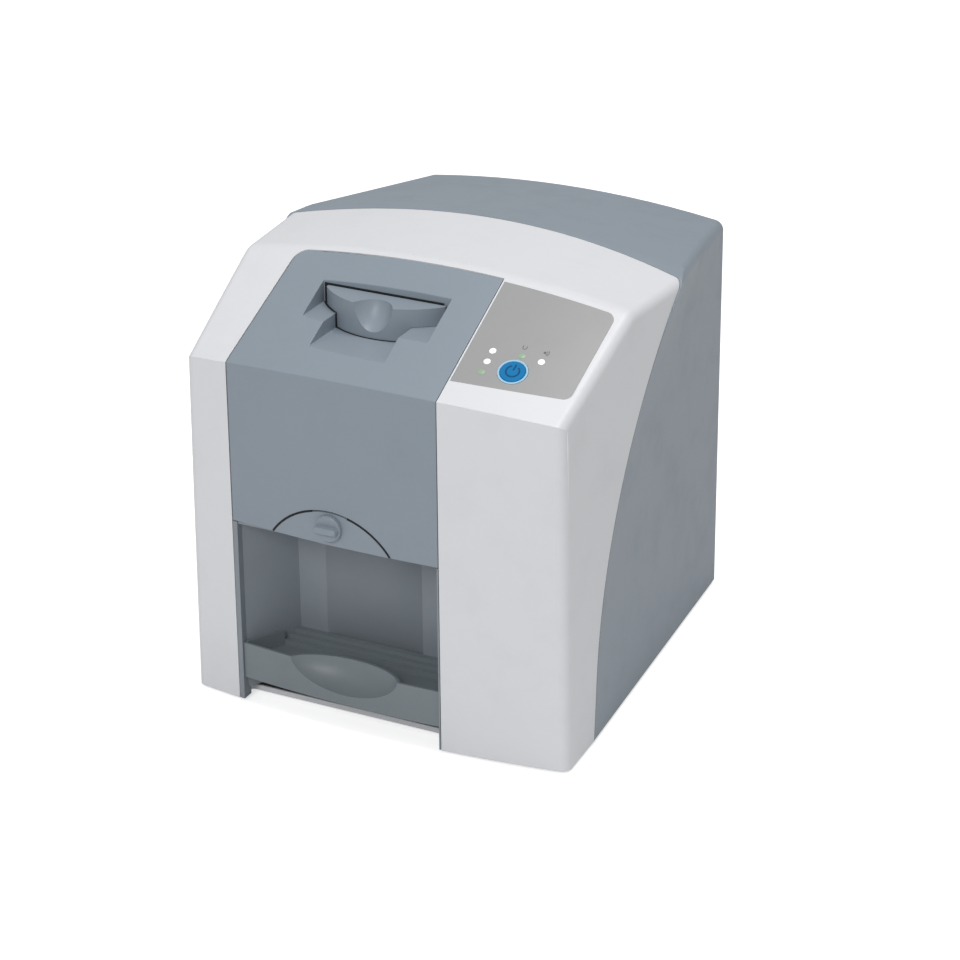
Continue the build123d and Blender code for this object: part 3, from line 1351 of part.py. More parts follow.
def pinion(turn):
    """Motor pinion that drives the lower roller, with its shaft through the bracket."""
    start = turn * GEAR_OFFSET - GEAR_WIDTH / 2
    face = turn * (BRACKET_OFFSET + BRACKET_THICK / 2 - FIT)
    tip = turn * (GEAR_OFFSET - GEAR_WIDTH / 2)
    with BuildPart() as body:
        with BuildSketch(drum_axle(turn * ROLLER_ANGLE, ROLLER_LOWER, start)):
            with Locations((0, GEAR_DISTANCE)):
                toothed_disc(PINION_TEETH, -90 + 180 / PINION_TEETH)
        extrude(amount=GEAR_WIDTH)
        with BuildSketch(drum_axle(turn * ROLLER_ANGLE, ROLLER_LOWER, min(face, tip))):
            with Locations((0, GEAR_DISTANCE)):
                Circle(1.5)
        extrude(amount=abs(face - tip))
    return body.part


def transport_motor(turn):
    """Round gear motor bolted to the bracket of the cradle."""
    face = turn * (BRACKET_OFFSET + BRACKET_THICK / 2)
    far = face + turn * MOTOR_LENGTH
    with BuildPart() as body:
        with BuildSketch(drum_axle(turn * ROLLER_ANGLE, ROLLER_LOWER, min(face, far))):
            with Locations((0, GEAR_DISTANCE)):
                Circle(MOTOR_DIAMETER / 2)
        extrude(amount=MOTOR_LENGTH)
    return body.part


# Belt drives to the left and to the right of the middle
for turn, hand in ((-1, "left"), (1, "right")):
    finish(geared_roller(turn), f"{hand}_lower_roller")
    finish(roller(turn, ROLLER_UPPER), f"{hand}_upper_roller")
    finish(belt_pair(turn), f"{hand}_belts")
    finish(pinion(turn), f"{hand}_pinion")
    finish(transport_motor(turn), f"{hand}_motor")


def drum_cylinder(radius, foot, top, depth=DRUM_DEPTH):
    """Round piece that stands over the middle of the slot."""
    with BuildPart() as piece:
        with BuildSketch(level(foot)):
            with Locations((SLOT_X, depth)):
                Circle(radius)
        extrude(amount=top - foot)
    return piece.part


# Prism motor on the lower shelf, and the spinning head that turns the beam into the slit
with BuildPart() as prism_motor:
    add(drum_cylinder(PRISM_MOTOR_DIAMETER / 2, DRUM_FOOT, DRUM_FOOT + PRISM_MOTOR_TALL))
finish(prism_motor.part, "prism_motor")

HEAD_FOOT = DRUM_FOOT + PRISM_MOTOR_TALL + FIT
with BuildPart() as prism_head:
    add(drum_cylinder(13, HEAD_FOOT, SLIT_HEIGHT - PRISM_SIZE / 2 - 6))
    add(drum_cylinder(10, HEAD_FOOT, SLIT_HEIGHT - PRISM_SIZE / 2))
    with BuildSketch(level(SLIT_HEIGHT - PRISM_SIZE / 2)):
        with Locations((SLOT_X, DRUM_DEPTH)):
            Rectangle(PRISM_SIZE, PRISM_SIZE)
    extrude(amount=PRISM_SIZE)
finish(prism_head.part, "prism_head")

# Laser module under the upper shelf
with BuildPart() as laser_module:
    add(drum_cylinder(LASER_DIAMETER / 2, DRUM_TOP - LASER_LONG, DRUM_TOP))
    add(drum_cylinder(5, DRUM_TOP - LASER_LONG - 4, DRUM_TOP))
finish(laser_module.part, "laser_module")

# Light collector: a shallow cone in the drum above the slit
with BuildPart() as light_collector:
    with BuildSketch(side(SLOT_X)):
        with BuildLine():
            rim = DRUM_DEPTH - DRUM_RADIUS + DRUM_WALL + FIT
            bore = DRUM_DEPTH - COLLECTOR_BORE
            top = COLLECTOR_FOOT + COLLECTOR_TALL
            Polyline(
                (rim, COLLECTOR_FOOT),
                (rim + 3, COLLECTOR_FOOT),
                (bore, top - 3),
                (bore, top),
                (rim, top),
                close=True,
            )
        make_face()
    revolve(axis=Axis((SLOT_X, FRONT_Y + DRUM_DEPTH, 0), (0, 0, 1)))
finish(light_collector.part, "light_collector")

# Light guide rod up to the photomultiplier on the upper shelf
with BuildPart() as light_guide:
    add(
        drum_cylinder(
            GUIDE_DIAMETER / 2, COLLECTOR_FOOT + COLLECTOR_TALL, DRUM_TOP + SHELF_THICK, TUBE_DEPTH
        )
    )
finish(light_guide.part, "light_guide")

TUBE_FOOT = DRUM_TOP + SHELF_THICK
with BuildPart() as photomultiplier:
    add(drum_cylinder(TUBE_DIAMETER / 2, TUBE_FOOT, TUBE_FOOT + TUBE_TALL, TUBE_DEPTH))
    add(drum_cylinder(TUBE_DIAMETER / 2 + 4, TUBE_FOOT, TUBE_FOOT + 4, TUBE_DEPTH))
finish(photomultiplier.part, "photomultiplier")

# Erasing lamp: curved bar on the liner, ahead of the path of the plates
with BuildPart() as erase_lamp:
    lamp_top = LINER_TOP + LAMP_TALL
    add(drum_sector(LAMP_RADIUS - LAMP_WIDE, LAMP_RADIUS, LAMP_SPREAD, LINER_TOP, lamp_top))
finish(erase_lamp.part, "erase_lamp")

# Main board on its standoffs, with the chips and the processor's cooler
MAIN_BOARD_FAR = PANEL_FRONT - 1.5
MAIN_BOARD_NEAR = FRAME_REAR + FRAME_BEHIND
MAIN_BOARD_LONG = MAIN_BOARD_FAR - MAIN_BOARD_NEAR
MAIN_BOARD_DEPTH = (MAIN_BOARD_NEAR + MAIN_BOARD_FAR) / 2
with BuildPart() as main_board:
    with BuildSketch(level(MAIN_BOARD_LEVEL)):
        with Locations((MAIN_BOARD_X, MAIN_BOARD_DEPTH)):
            Rectangle(MAIN_BOARD_WIDE, MAIN_BOARD_LONG)
    extrude(amount=BOARD_THICK)
    with BuildSketch(level(MAIN_BOARD_LEVEL + 1)):
        with Locations((MAIN_BOARD_X, MAIN_BOARD_DEPTH - 10)):
            Rectangle(36, 36)
    extrude(amount=16)
    with BuildSketch(level(MAIN_BOARD_LEVEL + BOARD_THICK + 4)):
        with Locations((MAIN_BOARD_X, MAIN_BOARD_DEPTH - 10)):
            with GridLocations(6, 1, 6, 1):
                Rectangle(4, 40)
    extrude(amount=20, mode=Mode.SUBTRACT)
finish(main_board.part, "main_board")

with BuildPart() as board_standoffs:
    with BuildSketch(level(LIP_THICK + BASE_THICK)):
        with Locations((MAIN_BOARD_X, MAIN_BOARD_DEPTH)):
            with GridLocations(MAIN_BOARD_WIDE - 10, MAIN_BOARD_LONG - 10, 2, 2):
                RegularPolygon(3.5, 6)
    extrude(amount=MAIN_BOARD_LEVEL - LIP_THICK - BASE_THICK)
finish(board_standoffs.part, "board_standoffs")

# Power supply: a steel box with vent slots, between the chassis and the inlet
SUPPLY_NEAR = FRAME_REAR + FRAME_BEHIND
SUPPLY_LONG = PANEL_FRONT - SUPPLY_BEHIND - SUPPLY_NEAR
with BuildPart() as power_supply:
    with BuildSketch(level(LIP_THICK + BASE_THICK)):
        with Locations((SUPPLY_X, SUPPLY_NEAR + SUPPLY_LONG / 2)):
            Rectangle(SUPPLY_WIDE, SUPPLY_LONG)
    extrude(amount=SUPPLY_TALL)
    chamfer(power_supply.edges().filter_by(Axis.Z), length=1.5)
    with BuildSketch(level(LIP_THICK + BASE_THICK + SUPPLY_TALL)):
        with Locations((SUPPLY_X, SUPPLY_NEAR + SUPPLY_LONG / 2)):
            with GridLocations(9, 1, 8, 1):
                Rectangle(4, SUPPLY_LONG / 2)
    extrude(amount=-3, mode=Mode.SUBTRACT)
finish(power_supply.part, "power_supply")
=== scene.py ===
import json
from math import acos, atan2, pi, radians, sqrt

import bmesh
import bpy
from mathutils import Matrix, Vector

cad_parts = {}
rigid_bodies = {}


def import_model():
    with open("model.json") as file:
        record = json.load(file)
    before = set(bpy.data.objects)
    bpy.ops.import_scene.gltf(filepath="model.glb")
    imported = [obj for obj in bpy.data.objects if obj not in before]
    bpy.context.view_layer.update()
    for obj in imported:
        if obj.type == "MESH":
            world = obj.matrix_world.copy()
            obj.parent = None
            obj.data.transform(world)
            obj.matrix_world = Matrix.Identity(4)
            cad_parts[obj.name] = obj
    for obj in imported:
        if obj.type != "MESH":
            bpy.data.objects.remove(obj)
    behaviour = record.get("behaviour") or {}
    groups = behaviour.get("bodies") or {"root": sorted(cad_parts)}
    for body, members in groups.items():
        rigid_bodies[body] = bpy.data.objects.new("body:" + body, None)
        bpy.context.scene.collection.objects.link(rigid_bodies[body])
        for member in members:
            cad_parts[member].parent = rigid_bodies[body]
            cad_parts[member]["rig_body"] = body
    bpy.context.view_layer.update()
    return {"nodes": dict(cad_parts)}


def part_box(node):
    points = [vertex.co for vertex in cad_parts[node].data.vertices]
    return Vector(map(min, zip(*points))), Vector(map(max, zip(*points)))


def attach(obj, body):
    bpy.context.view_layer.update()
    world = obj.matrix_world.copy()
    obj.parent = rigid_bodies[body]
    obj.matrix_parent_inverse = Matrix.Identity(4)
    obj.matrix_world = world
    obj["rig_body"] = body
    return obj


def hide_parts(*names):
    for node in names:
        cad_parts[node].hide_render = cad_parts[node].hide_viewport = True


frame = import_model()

nodes = frame["nodes"]


# Housing places: x across, depth behind the front corners, height above the housings' underside
FOOT_OUT = 0.003
REAR_DEPTH = 0.3885
FRONT_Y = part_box("rear_housing")[1].y - REAR_DEPTH


def place(x, depth, height):
    """A point of the device from millimetres of the housing."""
    return Vector((x / 1000, FRONT_Y + depth / 1000, FOOT_OUT + height / 1000))


# Shared effects: how coarse they are, and how much they change the tone and the gloss
DRIFT_SCALE = 7.0
SMEAR_SCALE = 23.0
SMEAR_FROM = 0.48
SMEAR_TO = 0.72
SMEAR_SHADE = 0.10
SMEAR_GLOSS = 0.25
GRAIN_GLOSS = 0.12
GRAIN_BUMP = 0.5
COAT_ROUGHNESS = 0.08


def new_group(name, inputs, outputs):
    """Empty node group with its named inputs and outputs."""
    group = bpy.data.node_groups.new(name, "ShaderNodeTree")
    for label, kind, value in inputs:
        socket = group.interface.new_socket(label, in_out="INPUT", socket_type=kind)
        socket.default_value = value
    for label, kind in outputs:
        group.interface.new_socket(label, in_out="OUTPUT", socket_type=kind)
    entry = group.nodes.new("NodeGroupInput")
    leave = group.nodes.new("NodeGroupOutput")
    return group, entry, leave


def math_node(tree, operation, first, second):
    """Maths node whose operands are numbers or sockets."""
    node = tree.nodes.new("ShaderNodeMath")
    node.operation = operation
    for socket, value in zip(node.inputs, (first, second)):
        if isinstance(value, (int, float)):
            socket.default_value = value
        else:
            tree.links.new(value, socket)
    return node.outputs[0]


def scaled_colour(tree, colour, gain):
    """A colour made lighter or darker by a factor."""
    node = tree.nodes.new("ShaderNodeVectorMath")
    node.operation = "SCALE"
    tree.links.new(colour, node.inputs[0])
    tree.links.new(gain, node.inputs["Scale"])
    return node.outputs[0]


def noise(tree, scale, detail=2.0, roughness=0.5):
    """Noise over a piece's own coordinates, whose scale is a number or a socket."""
    coords = tree.nodes.new("ShaderNodeTexCoord")
    node = tree.nodes.new("ShaderNodeTexNoise")
    node.inputs["Detail"].default_value = detail
    node.inputs["Roughness"].default_value = roughness
    tree.links.new(coords.outputs["Object"], node.inputs["Vector"])
    if isinstance(scale, (int, float)):
        node.inputs["Scale"].default_value = scale
    else:
        tree.links.new(scale, node.inputs["Scale"])
    return node.outputs["Fac"]


def moulded_surface():
    """Slow drift of tone and a fine moulded grain."""
    group, entry, leave = new_group(
        "moulded_surface",
        [
            ("Colour", "NodeSocketColor", (0.5, 0.5, 0.5, 1)),
            ("Drift", "NodeSocketFloat", 0.05),
            ("Grain", "NodeSocketFloat", 900.0),
            ("Roughness", "NodeSocketFloat", 0.45),
        ],
        [
            ("Colour", "NodeSocketColor"),
            ("Roughness", "NodeSocketFloat"),
            ("Height", "NodeSocketFloat"),
        ],
    )
    slow = noise(group, DRIFT_SCALE, detail=3.0)
    fine = noise(group, entry.outputs["Grain"], roughness=0.6)
    swing = math_node(group, "SUBTRACT", slow, 0.5)
    swing = math_node(group, "MULTIPLY", swing, entry.outputs["Drift"])
    gain = math_node(group, "ADD", swing, 1.0)
    tint = scaled_colour(group, entry.outputs["Colour"], gain)
    group.links.new(tint, leave.inputs["Colour"])
    ripple = math_node(group, "MULTIPLY", math_node(group, "SUBTRACT", fine, 0.5), GRAIN_GLOSS)
    rough = math_node(group, "ADD", entry.outputs["Roughness"], ripple)
    group.links.new(rough, leave.inputs["Roughness"])
    group.links.new(fine, leave.inputs["Height"])
    return group


def handling_marks():
    """Faint wipe marks and fine dust: they change the gloss more than the colour."""
    group, entry, leave = new_group(
        "handling_marks",
        [
            ("Colour", "NodeSocketColor", (0.5, 0.5, 0.5, 1)),
            ("Roughness", "NodeSocketFloat", 0.4),
            ("Amount", "NodeSocketFloat", 0.3),
        ],
        [("Colour", "NodeSocketColor"), ("Roughness", "NodeSocketFloat")],
    )
    smear = noise(group, SMEAR_SCALE, detail=4.0, roughness=0.65)
    ramp = group.nodes.new("ShaderNodeMapRange")
    ramp.inputs["From Min"].default_value = SMEAR_FROM
    ramp.inputs["From Max"].default_value = SMEAR_TO
    group.links.new(smear, ramp.inputs["Value"])
    mask = math_node(group, "MULTIPLY", ramp.outputs[0], entry.outputs["Amount"])
    shade = math_node(group, "SUBTRACT", 1.0, math_node(group, "MULTIPLY", mask, SMEAR_SHADE))
    dull = scaled_colour(group, entry.outputs["Colour"], shade)
    group.links.new(dull, leave.inputs["Colour"])
    lift = math_node(group, "MULTIPLY", mask, SMEAR_GLOSS)
    rough = math_node(group, "ADD", entry.outputs["Roughness"], lift)
    group.links.new(rough, leave.inputs["Roughness"])
    return group


SURFACE = moulded_surface()
MARKS = handling_marks()


def finish(
    name, colour, roughness, metallic=0.0, drift=0.05, grain=900.0, depth=0.00003, marks=0.3,
    coat=0.0, gloss=0.5, glow=None, glow_strength=0.0,
):
    """A material of this device: its own colour and gloss over the shared grain and marks."""
    material = bpy.data.materials.new(name)
    material.use_nodes = True
    tree = material.node_tree
    shader = tree.nodes["Principled BSDF"]
    surface = tree.nodes.new("ShaderNodeGroup")
    surface.node_tree = SURFACE
    surface.inputs["Colour"].default_value = (*colour, 1)
    surface.inputs["Drift"].default_value = drift
    surface.inputs["Grain"].default_value = grain
    surface.inputs["Roughness"].default_value = roughness
    worn = tree.nodes.new("ShaderNodeGroup")
    worn.node_tree = MARKS
    worn.inputs["Amount"].default_value = marks
    tree.links.new(surface.outputs["Colour"], worn.inputs["Colour"])
    tree.links.new(surface.outputs["Roughness"], worn.inputs["Roughness"])
    tree.links.new(worn.outputs["Colour"], shader.inputs["Base Color"])
    tree.links.new(worn.outputs["Roughness"], shader.inputs["Roughness"])
    bump = tree.nodes.new("ShaderNodeBump")
    bump.inputs["Strength"].default_value = GRAIN_BUMP
    bump.inputs["Distance"].default_value = depth
    tree.links.new(surface.outputs["Height"], bump.inputs["Height"])
    tree.links.new(bump.outputs["Normal"], shader.inputs["Normal"])
    shader.inputs["Metallic"].default_value = metallic
    shader.inputs["Coat Weight"].default_value = coat
    shader.inputs["Coat Roughness"].default_value = COAT_ROUGHNESS
    shader.inputs["Specular IOR Level"].default_value = gloss
    if glow:
        shader.inputs["Emission Color"].default_value = (*glow, 1)
        shader.inputs["Emission Strength"].default_value = glow_strength
    return material


light_shell = finish("light_shell", (0.74, 0.75, 0.775), 0.42, drift=0.03)
blue_shell = finish("blue_shell", (0.262, 0.308, 0.356), 0.40)
tray_shell = finish("tray_shell", (0.195, 0.226, 0.246), 0.42, marks=0.5)
liner_shell = finish("liner_shell", (0.245, 0.278, 0.310), 0.42, marks=0.4)
label_sheet = finish("label_sheet", (0.345, 0.345, 0.346), 0.34, drift=0.04, grain=1600.0, depth=0.00001)
button_cap = finish("button_cap", (0.004, 0.185, 0.440), 0.45, drift=0.06, marks=0.15, gloss=0.15)
# Near-black for the strips laid in the joints and gaps: painted shade, standing for the shadow that falls in
# those gaps
seal_felt = finish("seal_felt", (0.012, 0.012, 0.014), 0.85, drift=0.2, grain=1500.0, depth=0.0001, marks=0.0)
symbol_print = finish("symbol_print", (0.003, 0.075, 0.200), 0.45, drift=0.02, marks=0.1, gloss=0.15)
clear_ring = finish("clear_ring", (0.34, 0.56, 0.72), 0.30, glow=(0.45, 0.75, 1.0), glow_strength=0.05)
window_white = finish("window_white", (0.86, 0.89, 0.88), 0.18, glow=(1, 1, 1), glow_strength=0.35)
window_green = finish("window_green", (0.30, 0.43, 0.30), 0.30, glow=(0.35, 0.75, 0.30), glow_strength=0.05)
print_grey = finish("print_grey", (0.10, 0.105, 0.12), 0.40, drift=0.02, marks=0.1)
panel_paint = finish("panel_paint", (0.26, 0.30, 0.34), 0.52, drift=0.03, grain=420.0, depth=0.00008)
foot_rubber = finish("foot_rubber", (0.020, 0.020, 0.022), 0.75, drift=0.15, grain=700.0, depth=0.00006)
black_moulding = finish("black_moulding", (0.022, 0.022, 0.024), 0.45, drift=0.10)
dark_moulding = finish("dark_moulding", (0.045, 0.047, 0.052), 0.40, drift=0.10)
belt_rubber = finish("belt_rubber", (0.030, 0.030, 0.030), 0.70, drift=0.12, grain=600.0, depth=0.00008)
roller_white = finish("roller_white", (0.72, 0.72, 0.68), 0.32, drift=0.04)
sheet_steel = finish("sheet_steel", (0.56, 0.57, 0.58), 0.36, metallic=1.0, drift=0.25, grain=160.0)
turned_steel = finish("turned_steel", (0.60, 0.60, 0.61), 0.24, metallic=1.0, drift=0.12)
motor_can = finish("motor_can", (0.58, 0.59, 0.60), 0.30, metallic=1.0, drift=0.12)
polished_metal = finish("polished_metal", (0.82, 0.83, 0.84), 0.08, metallic=1.0, drift=0.03, marks=0.1)
board_green = finish("board_green", (0.020, 0.13, 0.050), 0.35, drift=0.35, grain=500.0, coat=0.3)

FINISHES = {
    light_shell: ["front_housing"],
    blue_shell: ["rear_housing", "front_cover", "latch_plate", "latch_knob", "plate_cassette"],
    tray_shell: ["collecting_tray"],
    liner_shell: ["bay_liner", "latch_keeper"],
    label_sheet: ["control_label"],
    button_cap: ["power_button"],
    clear_ring: ["button_ring", "erase_lamp"],
    window_white: ["light_windows", "light_guide"],
    board_green: ["control_board", "main_board"],
    panel_paint: ["rear_panel"],
    foot_rubber: ["rubber_feet"],
    black_moulding: [
        "mains_inlet", "mains_switch", "mains_rocker", "fan_frame", "fan_rotor", "photomultiplier",
    ],
    dark_moulding: ["guide_drum", "belt_cradle"],
    belt_rubber: ["left_belts", "right_belts"],
    roller_white: ["left_lower_roller", "right_lower_roller", "left_upper_roller", "right_upper_roller"],
    sheet_steel: ["base_plate", "chassis", "power_supply", "usb_port", "network_port"],
    turned_steel: ["left_pinion", "right_pinion", "board_standoffs"],
    motor_can: ["left_motor", "right_motor", "prism_motor", "laser_module"],
    polished_metal: ["prism_head", "light_collector"],
}
for material, names in FINISHES.items():
    for name in names:
        mesh = nodes[name].data
        mesh.materials.clear()
        mesh.materials.append(material)


# Modelling helpers: a piece is made round the origin, in metres, and then laid in its place
MERGE_DISTANCE = 0.000004
SMOOTH_ANGLE = radians(32)
FULL_TURN = 2 * pi


def only(piece):
    """Select one piece and make it the one that is worked on."""
    bpy.ops.object.select_all(action="DESELECT")
    piece.select_set(True)
    bpy.context.view_layer.objects.active = piece


def lay(piece, matrix):
    """Put a piece that was made at the origin into its place, and the place into its mesh."""
    piece.matrix_world = matrix
    only(piece)
    bpy.ops.object.transform_apply(location=True, rotation=True, scale=True)
    return piece


def settle(piece, name, material, body):
    """Give a finished piece its name, material, slot and body."""
    piece.name = name
    piece.data.name = name
    piece.data.materials.clear()
    piece.data.materials.append(material)
    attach(piece, body)


def apply_modifier(piece, kind, **values):
    """Add a modifier with its values and apply it."""
    only(piece)
    modifier = piece.modifiers.new(kind.lower(), kind)
    for key, value in values.items():
        setattr(modifier, key, value)
    bpy.ops.object.modifier_apply(modifier=modifier.name)


def cut_out(piece, cutter):
    """Take the cutter's form out of a piece and remove the cutter."""
    apply_modifier(piece, "BOOLEAN", operation="DIFFERENCE", object=cutter, use_self=True)
    bpy.data.objects.remove(cutter)


def joined(pieces):
    """Pieces made one, under the first of them."""
    only(pieces[0])
    for piece in pieces[1:]:
        piece.select_set(True)
    bpy.ops.object.join()
    return pieces[0]


def copies(first, count):
    """Copies of a piece, each with a mesh of its own, and last the piece itself."""
    for _ in range(count - 1):
        only(first)
        bpy.ops.object.duplicate()
        yield bpy.context.object
    yield first


def opened_copy(node_name, name):
    """Copy of a CAD node, open for editing, whose loose triangles are joined up."""
    piece = bpy.data.objects.new(name, nodes[node_name].data.copy())
    bpy.context.scene.collection.objects.link(piece)
    only(piece)
    bpy.ops.object.mode_set(mode="EDIT")
    bpy.ops.mesh.select_all(action="SELECT")
    bpy.ops.mesh.remove_doubles(threshold=MERGE_DISTANCE)
    return piece


def choose_edges_above(piece, height):
    """Select the edges whose two ends lie above a height."""
    bpy.ops.mesh.select_mode(type="EDGE")
    bpy.ops.mesh.select_all(action="DESELECT")
    body = bmesh.from_edit_mesh(piece.data)
    for edge in body.edges:
        if all(end.co.z > height for end in edge.verts):
            edge.select = True
    body.select_flush_mode()
    bmesh.update_edit_mesh(piece.data)


def end_editing():
    """Turn all faces outwards and leave edit mode."""
    bpy.ops.mesh.select_all(action="SELECT")
    bpy.ops.mesh.normals_make_consistent(inside=False)
    bpy.ops.object.mode_set(mode="OBJECT")


def flat_bar(width, length, thick):
    """Bar that stands on the ground plane, round the origin."""
    bpy.ops.object.select_all(action="DESELECT")
    bpy.ops.mesh.primitive_cube_add(size=1, location=(0, 0, thick / 2), scale=(width, length, thick))
    bpy.ops.object.transform_apply(location=True, rotation=True, scale=True)
    return bpy.context.object


def arc_strip(radius, width, thick, start, sweep, steps):
    """Band bent round the origin: a small upright profile, spun. Without a window, spin turns back."""
    bpy.ops.object.select_all(action="DESELECT")
    spot = Matrix.Rotation(start, 4, "Z") @ Vector((radius, 0, thick / 2))
    bpy.ops.mesh.primitive_plane_add(size=1, location=spot, rotation=(pi / 2, 0, start))
    piece = bpy.context.object
    piece.scale = (width, thick, 1)
    bpy.ops.object.transform_apply(location=True, rotation=True, scale=True)
    bpy.ops.object.mode_set(mode="EDIT")
    bpy.ops.mesh.select_all(action="SELECT")
    bpy.ops.mesh.spin(steps=steps, angle=-sweep, center=(0, 0, 0), axis=(0, 0, 1))
    if sweep >= FULL_TURN:
        bpy.ops.mesh.select_all(action="SELECT")
        bpy.ops.mesh.remove_doubles(threshold=MERGE_DISTANCE)
    end_editing()
    return piece


# Rear housing, cover and half-moon plate with softened edges, in the place of the CAD's sharp ones
SOFTENED = [
    ("rear_housing", 0.0006, 42),
    ("front_cover", 0.0007, 21),
    ("latch_plate", 0.0005, 42),
]


def softened(name, width, sharpest):
    """Copy of a CAD moulding whose edges are rounded where they turn by more than an angle."""
    piece = opened_copy(name, f"{name}_moulding")
    bpy.ops.object.mode_set(mode="OBJECT")
    apply_modifier(
        piece, "BEVEL", width=width, segments=2, limit_method="ANGLE",
        angle_limit=radians(sharpest), use_clamp_overlap=False, miter_outer="MITER_ARC",
    )
    bpy.ops.object.shade_smooth_by_angle(angle=SMOOTH_ANGLE)
    apply_modifier(piece, "WEIGHTED_NORMAL", keep_sharp=True, weight=100)
    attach(piece, nodes[name]["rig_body"])
    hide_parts(name)


for name, width, sharpest in SOFTENED:
    softened(name, width, sharpest)


# Cassette handle: a curved block with a thumb hollow, over the carrier of the CAD node
SLOT_X = -29.3
LEDGE_HEIGHT = 349.3
HANDLE_X = -27.0
HANDLE_DEPTH = 127.2
HANDLE_RADIUS = 74.6
HANDLE_REAR = 80.4
HANDLE_FOOT = 336.8
HANDLE_TOP = 365.3
HANDLE_LEFT = -0.0555
HANDLE_RIGHT = 0.0562
HANDLE_EDGE = 0.0017
WING_GAP = 0.3
WING_CUTTER = (0.060, 0.120, 0.030)
WING_CUTTER_X = (-0.0685, 0.0639)
HOLLOW_SPOT = (0.0010, -0.0920, 0.0361)
HOLLOW_RADII = (0.0231, 0.0352, 0.0352)
CARRIER_GAP = 0.02


def wing_cutter():
    """The room under the two wings, by which they clear the ledges of the recess."""
    width, length, thick = WING_CUTTER
    top = (LEDGE_HEIGHT + WING_GAP - HANDLE_FOOT) / 1000
    blocks = []
    for x in WING_CUTTER_X:
        block = flat_bar(width, length, thick)
        lay(block, Matrix.Translation((x, -length / 2, top - thick)))
        blocks.append(block)
    return joined(blocks)


def thumb_hollow():
    """The ellipsoid that hollows the handle's face."""
    bpy.ops.object.select_all(action="DESELECT")
    bpy.ops.mesh.primitive_uv_sphere_add(
        segments=96, ring_count=64, radius=1, location=HOLLOW_SPOT, scale=HOLLOW_RADII,
    )
    bpy.ops.object.transform_apply(location=True, rotation=True, scale=True)
    return bpy.context.object


def cassette_handle():
    bpy.ops.object.select_all(action="DESELECT")
    bpy.ops.mesh.primitive_circle_add(vertices=200, radius=HANDLE_RADIUS / 1000, fill_type="NGON")
    handle = bpy.context.object
    bpy.ops.object.mode_set(mode="EDIT")
    back = (HANDLE_REAR - HANDLE_DEPTH) / 1000
    sides = [
        ((0, back, 0), (0, 1, 0)),
        ((HANDLE_LEFT, 0, 0), (-1, 0, 0)),
        ((HANDLE_RIGHT, 0, 0), (1, 0, 0)),
    ]
    for spot, out in sides:
        bpy.ops.mesh.select_all(action="SELECT")
        bpy.ops.mesh.bisect(plane_co=spot, plane_no=out, clear_outer=True)
    bpy.ops.mesh.select_all(action="SELECT")
    tall = (HANDLE_TOP - HANDLE_FOOT) / 1000
    bpy.ops.mesh.extrude_region_move(TRANSFORM_OT_translate={"value": (0, 0, tall)})
    end_editing()
    cut_out(handle, wing_cutter())
    cut_out(handle, thumb_hollow())
    apply_modifier(
        handle, "BEVEL", width=HANDLE_EDGE, segments=3, limit_method="ANGLE",
        angle_limit=radians(30), use_clamp_overlap=True,
    )
    bpy.ops.object.shade_smooth_by_angle(angle=SMOOTH_ANGLE)
    apply_modifier(handle, "WEIGHTED_NORMAL", keep_sharp=True, weight=80)
    lay(handle, Matrix.Translation(place(HANDLE_X, HANDLE_DEPTH, HANDLE_FOOT)))
    settle(handle, "cassette_handle", blue_shell, "cassette")
    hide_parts("plate_cassette")


def cassette_carrier():
    carrier = opened_copy("plate_cassette", "cassette_carrier")
    cut = place(SLOT_X, 0, HANDLE_FOOT - CARRIER_GAP)
    bpy.ops.mesh.bisect(plane_co=cut, plane_no=(0, 0, 1), use_fill=True, clear_outer=True)
    bpy.ops.object.mode_set(mode="OBJECT")
    bpy.ops.object.shade_smooth_by_angle(angle=SMOOTH_ANGLE)
    settle(carrier, "cassette_carrier", blue_shell, "cassette")
    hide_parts("plate_cassette")


cassette_handle()
cassette_carrier()


# Black strips round the cassette handle: painted shade, standing for the shadow in the gap of the slot
SCOOP_HEIGHT = 336.5
SCOOP_LEFT = SLOT_X - 36.4
SCOOP_RIGHT = SLOT_X + 36.4
SCOOP_REAR = 63.5
SIDE_SHADE_X = SLOT_X - 36.38
LEDGE_LEFT = -86.5
LEDGE_RIGHT = SLOT_X - 36.6
RECESS_X = -29.9
RECESS_REAR = 81.65
SHADE_ABOVE = 1.5
SHADE_OUT = 0.2


def slot_shade_arc(x_from, x_to, height):
    """Thin strip of painted shade on the floor of the recess along the face of the handle, from one x to
    another.
    """
    start = -acos((x_from - HANDLE_X) / HANDLE_RADIUS)
    sweep = -acos((x_to - HANDLE_X) / HANDLE_RADIUS) - start
    radius = (HANDLE_RADIUS + SHADE_OUT) / 1000
    strip = arc_strip(radius, width=0.0030, thick=0.00025, start=start, sweep=sweep, steps=40)
    return lay(strip, Matrix.Translation(place(HANDLE_X, HANDLE_DEPTH, height)))


def slot_felt():
    tall_back = (HANDLE_TOP + SHADE_ABOVE - LEDGE_HEIGHT) / 1000
    back = flat_bar(width=0.1135, length=0.0006, thick=tall_back)
    lay(back, Matrix.Translation(place(RECESS_X, RECESS_REAR, LEDGE_HEIGHT)))
    tall_side = (LEDGE_HEIGHT - SCOOP_HEIGHT) / 1000
    side = flat_bar(width=0.00022, length=0.0050, thick=tall_side)
    lay(side, Matrix.Translation(place(SIDE_SHADE_X, SCOOP_REAR, SCOOP_HEIGHT)))
    floor_strip = slot_shade_arc(SCOOP_LEFT, SCOOP_RIGHT, SCOOP_HEIGHT)
    ledge_strip = slot_shade_arc(LEDGE_LEFT, LEDGE_RIGHT, LEDGE_HEIGHT)
    shade_strips = joined([back, side, floor_strip, ledge_strip])
    settle(shade_strips, "slot_felt", seal_felt, "cover")


slot_felt()
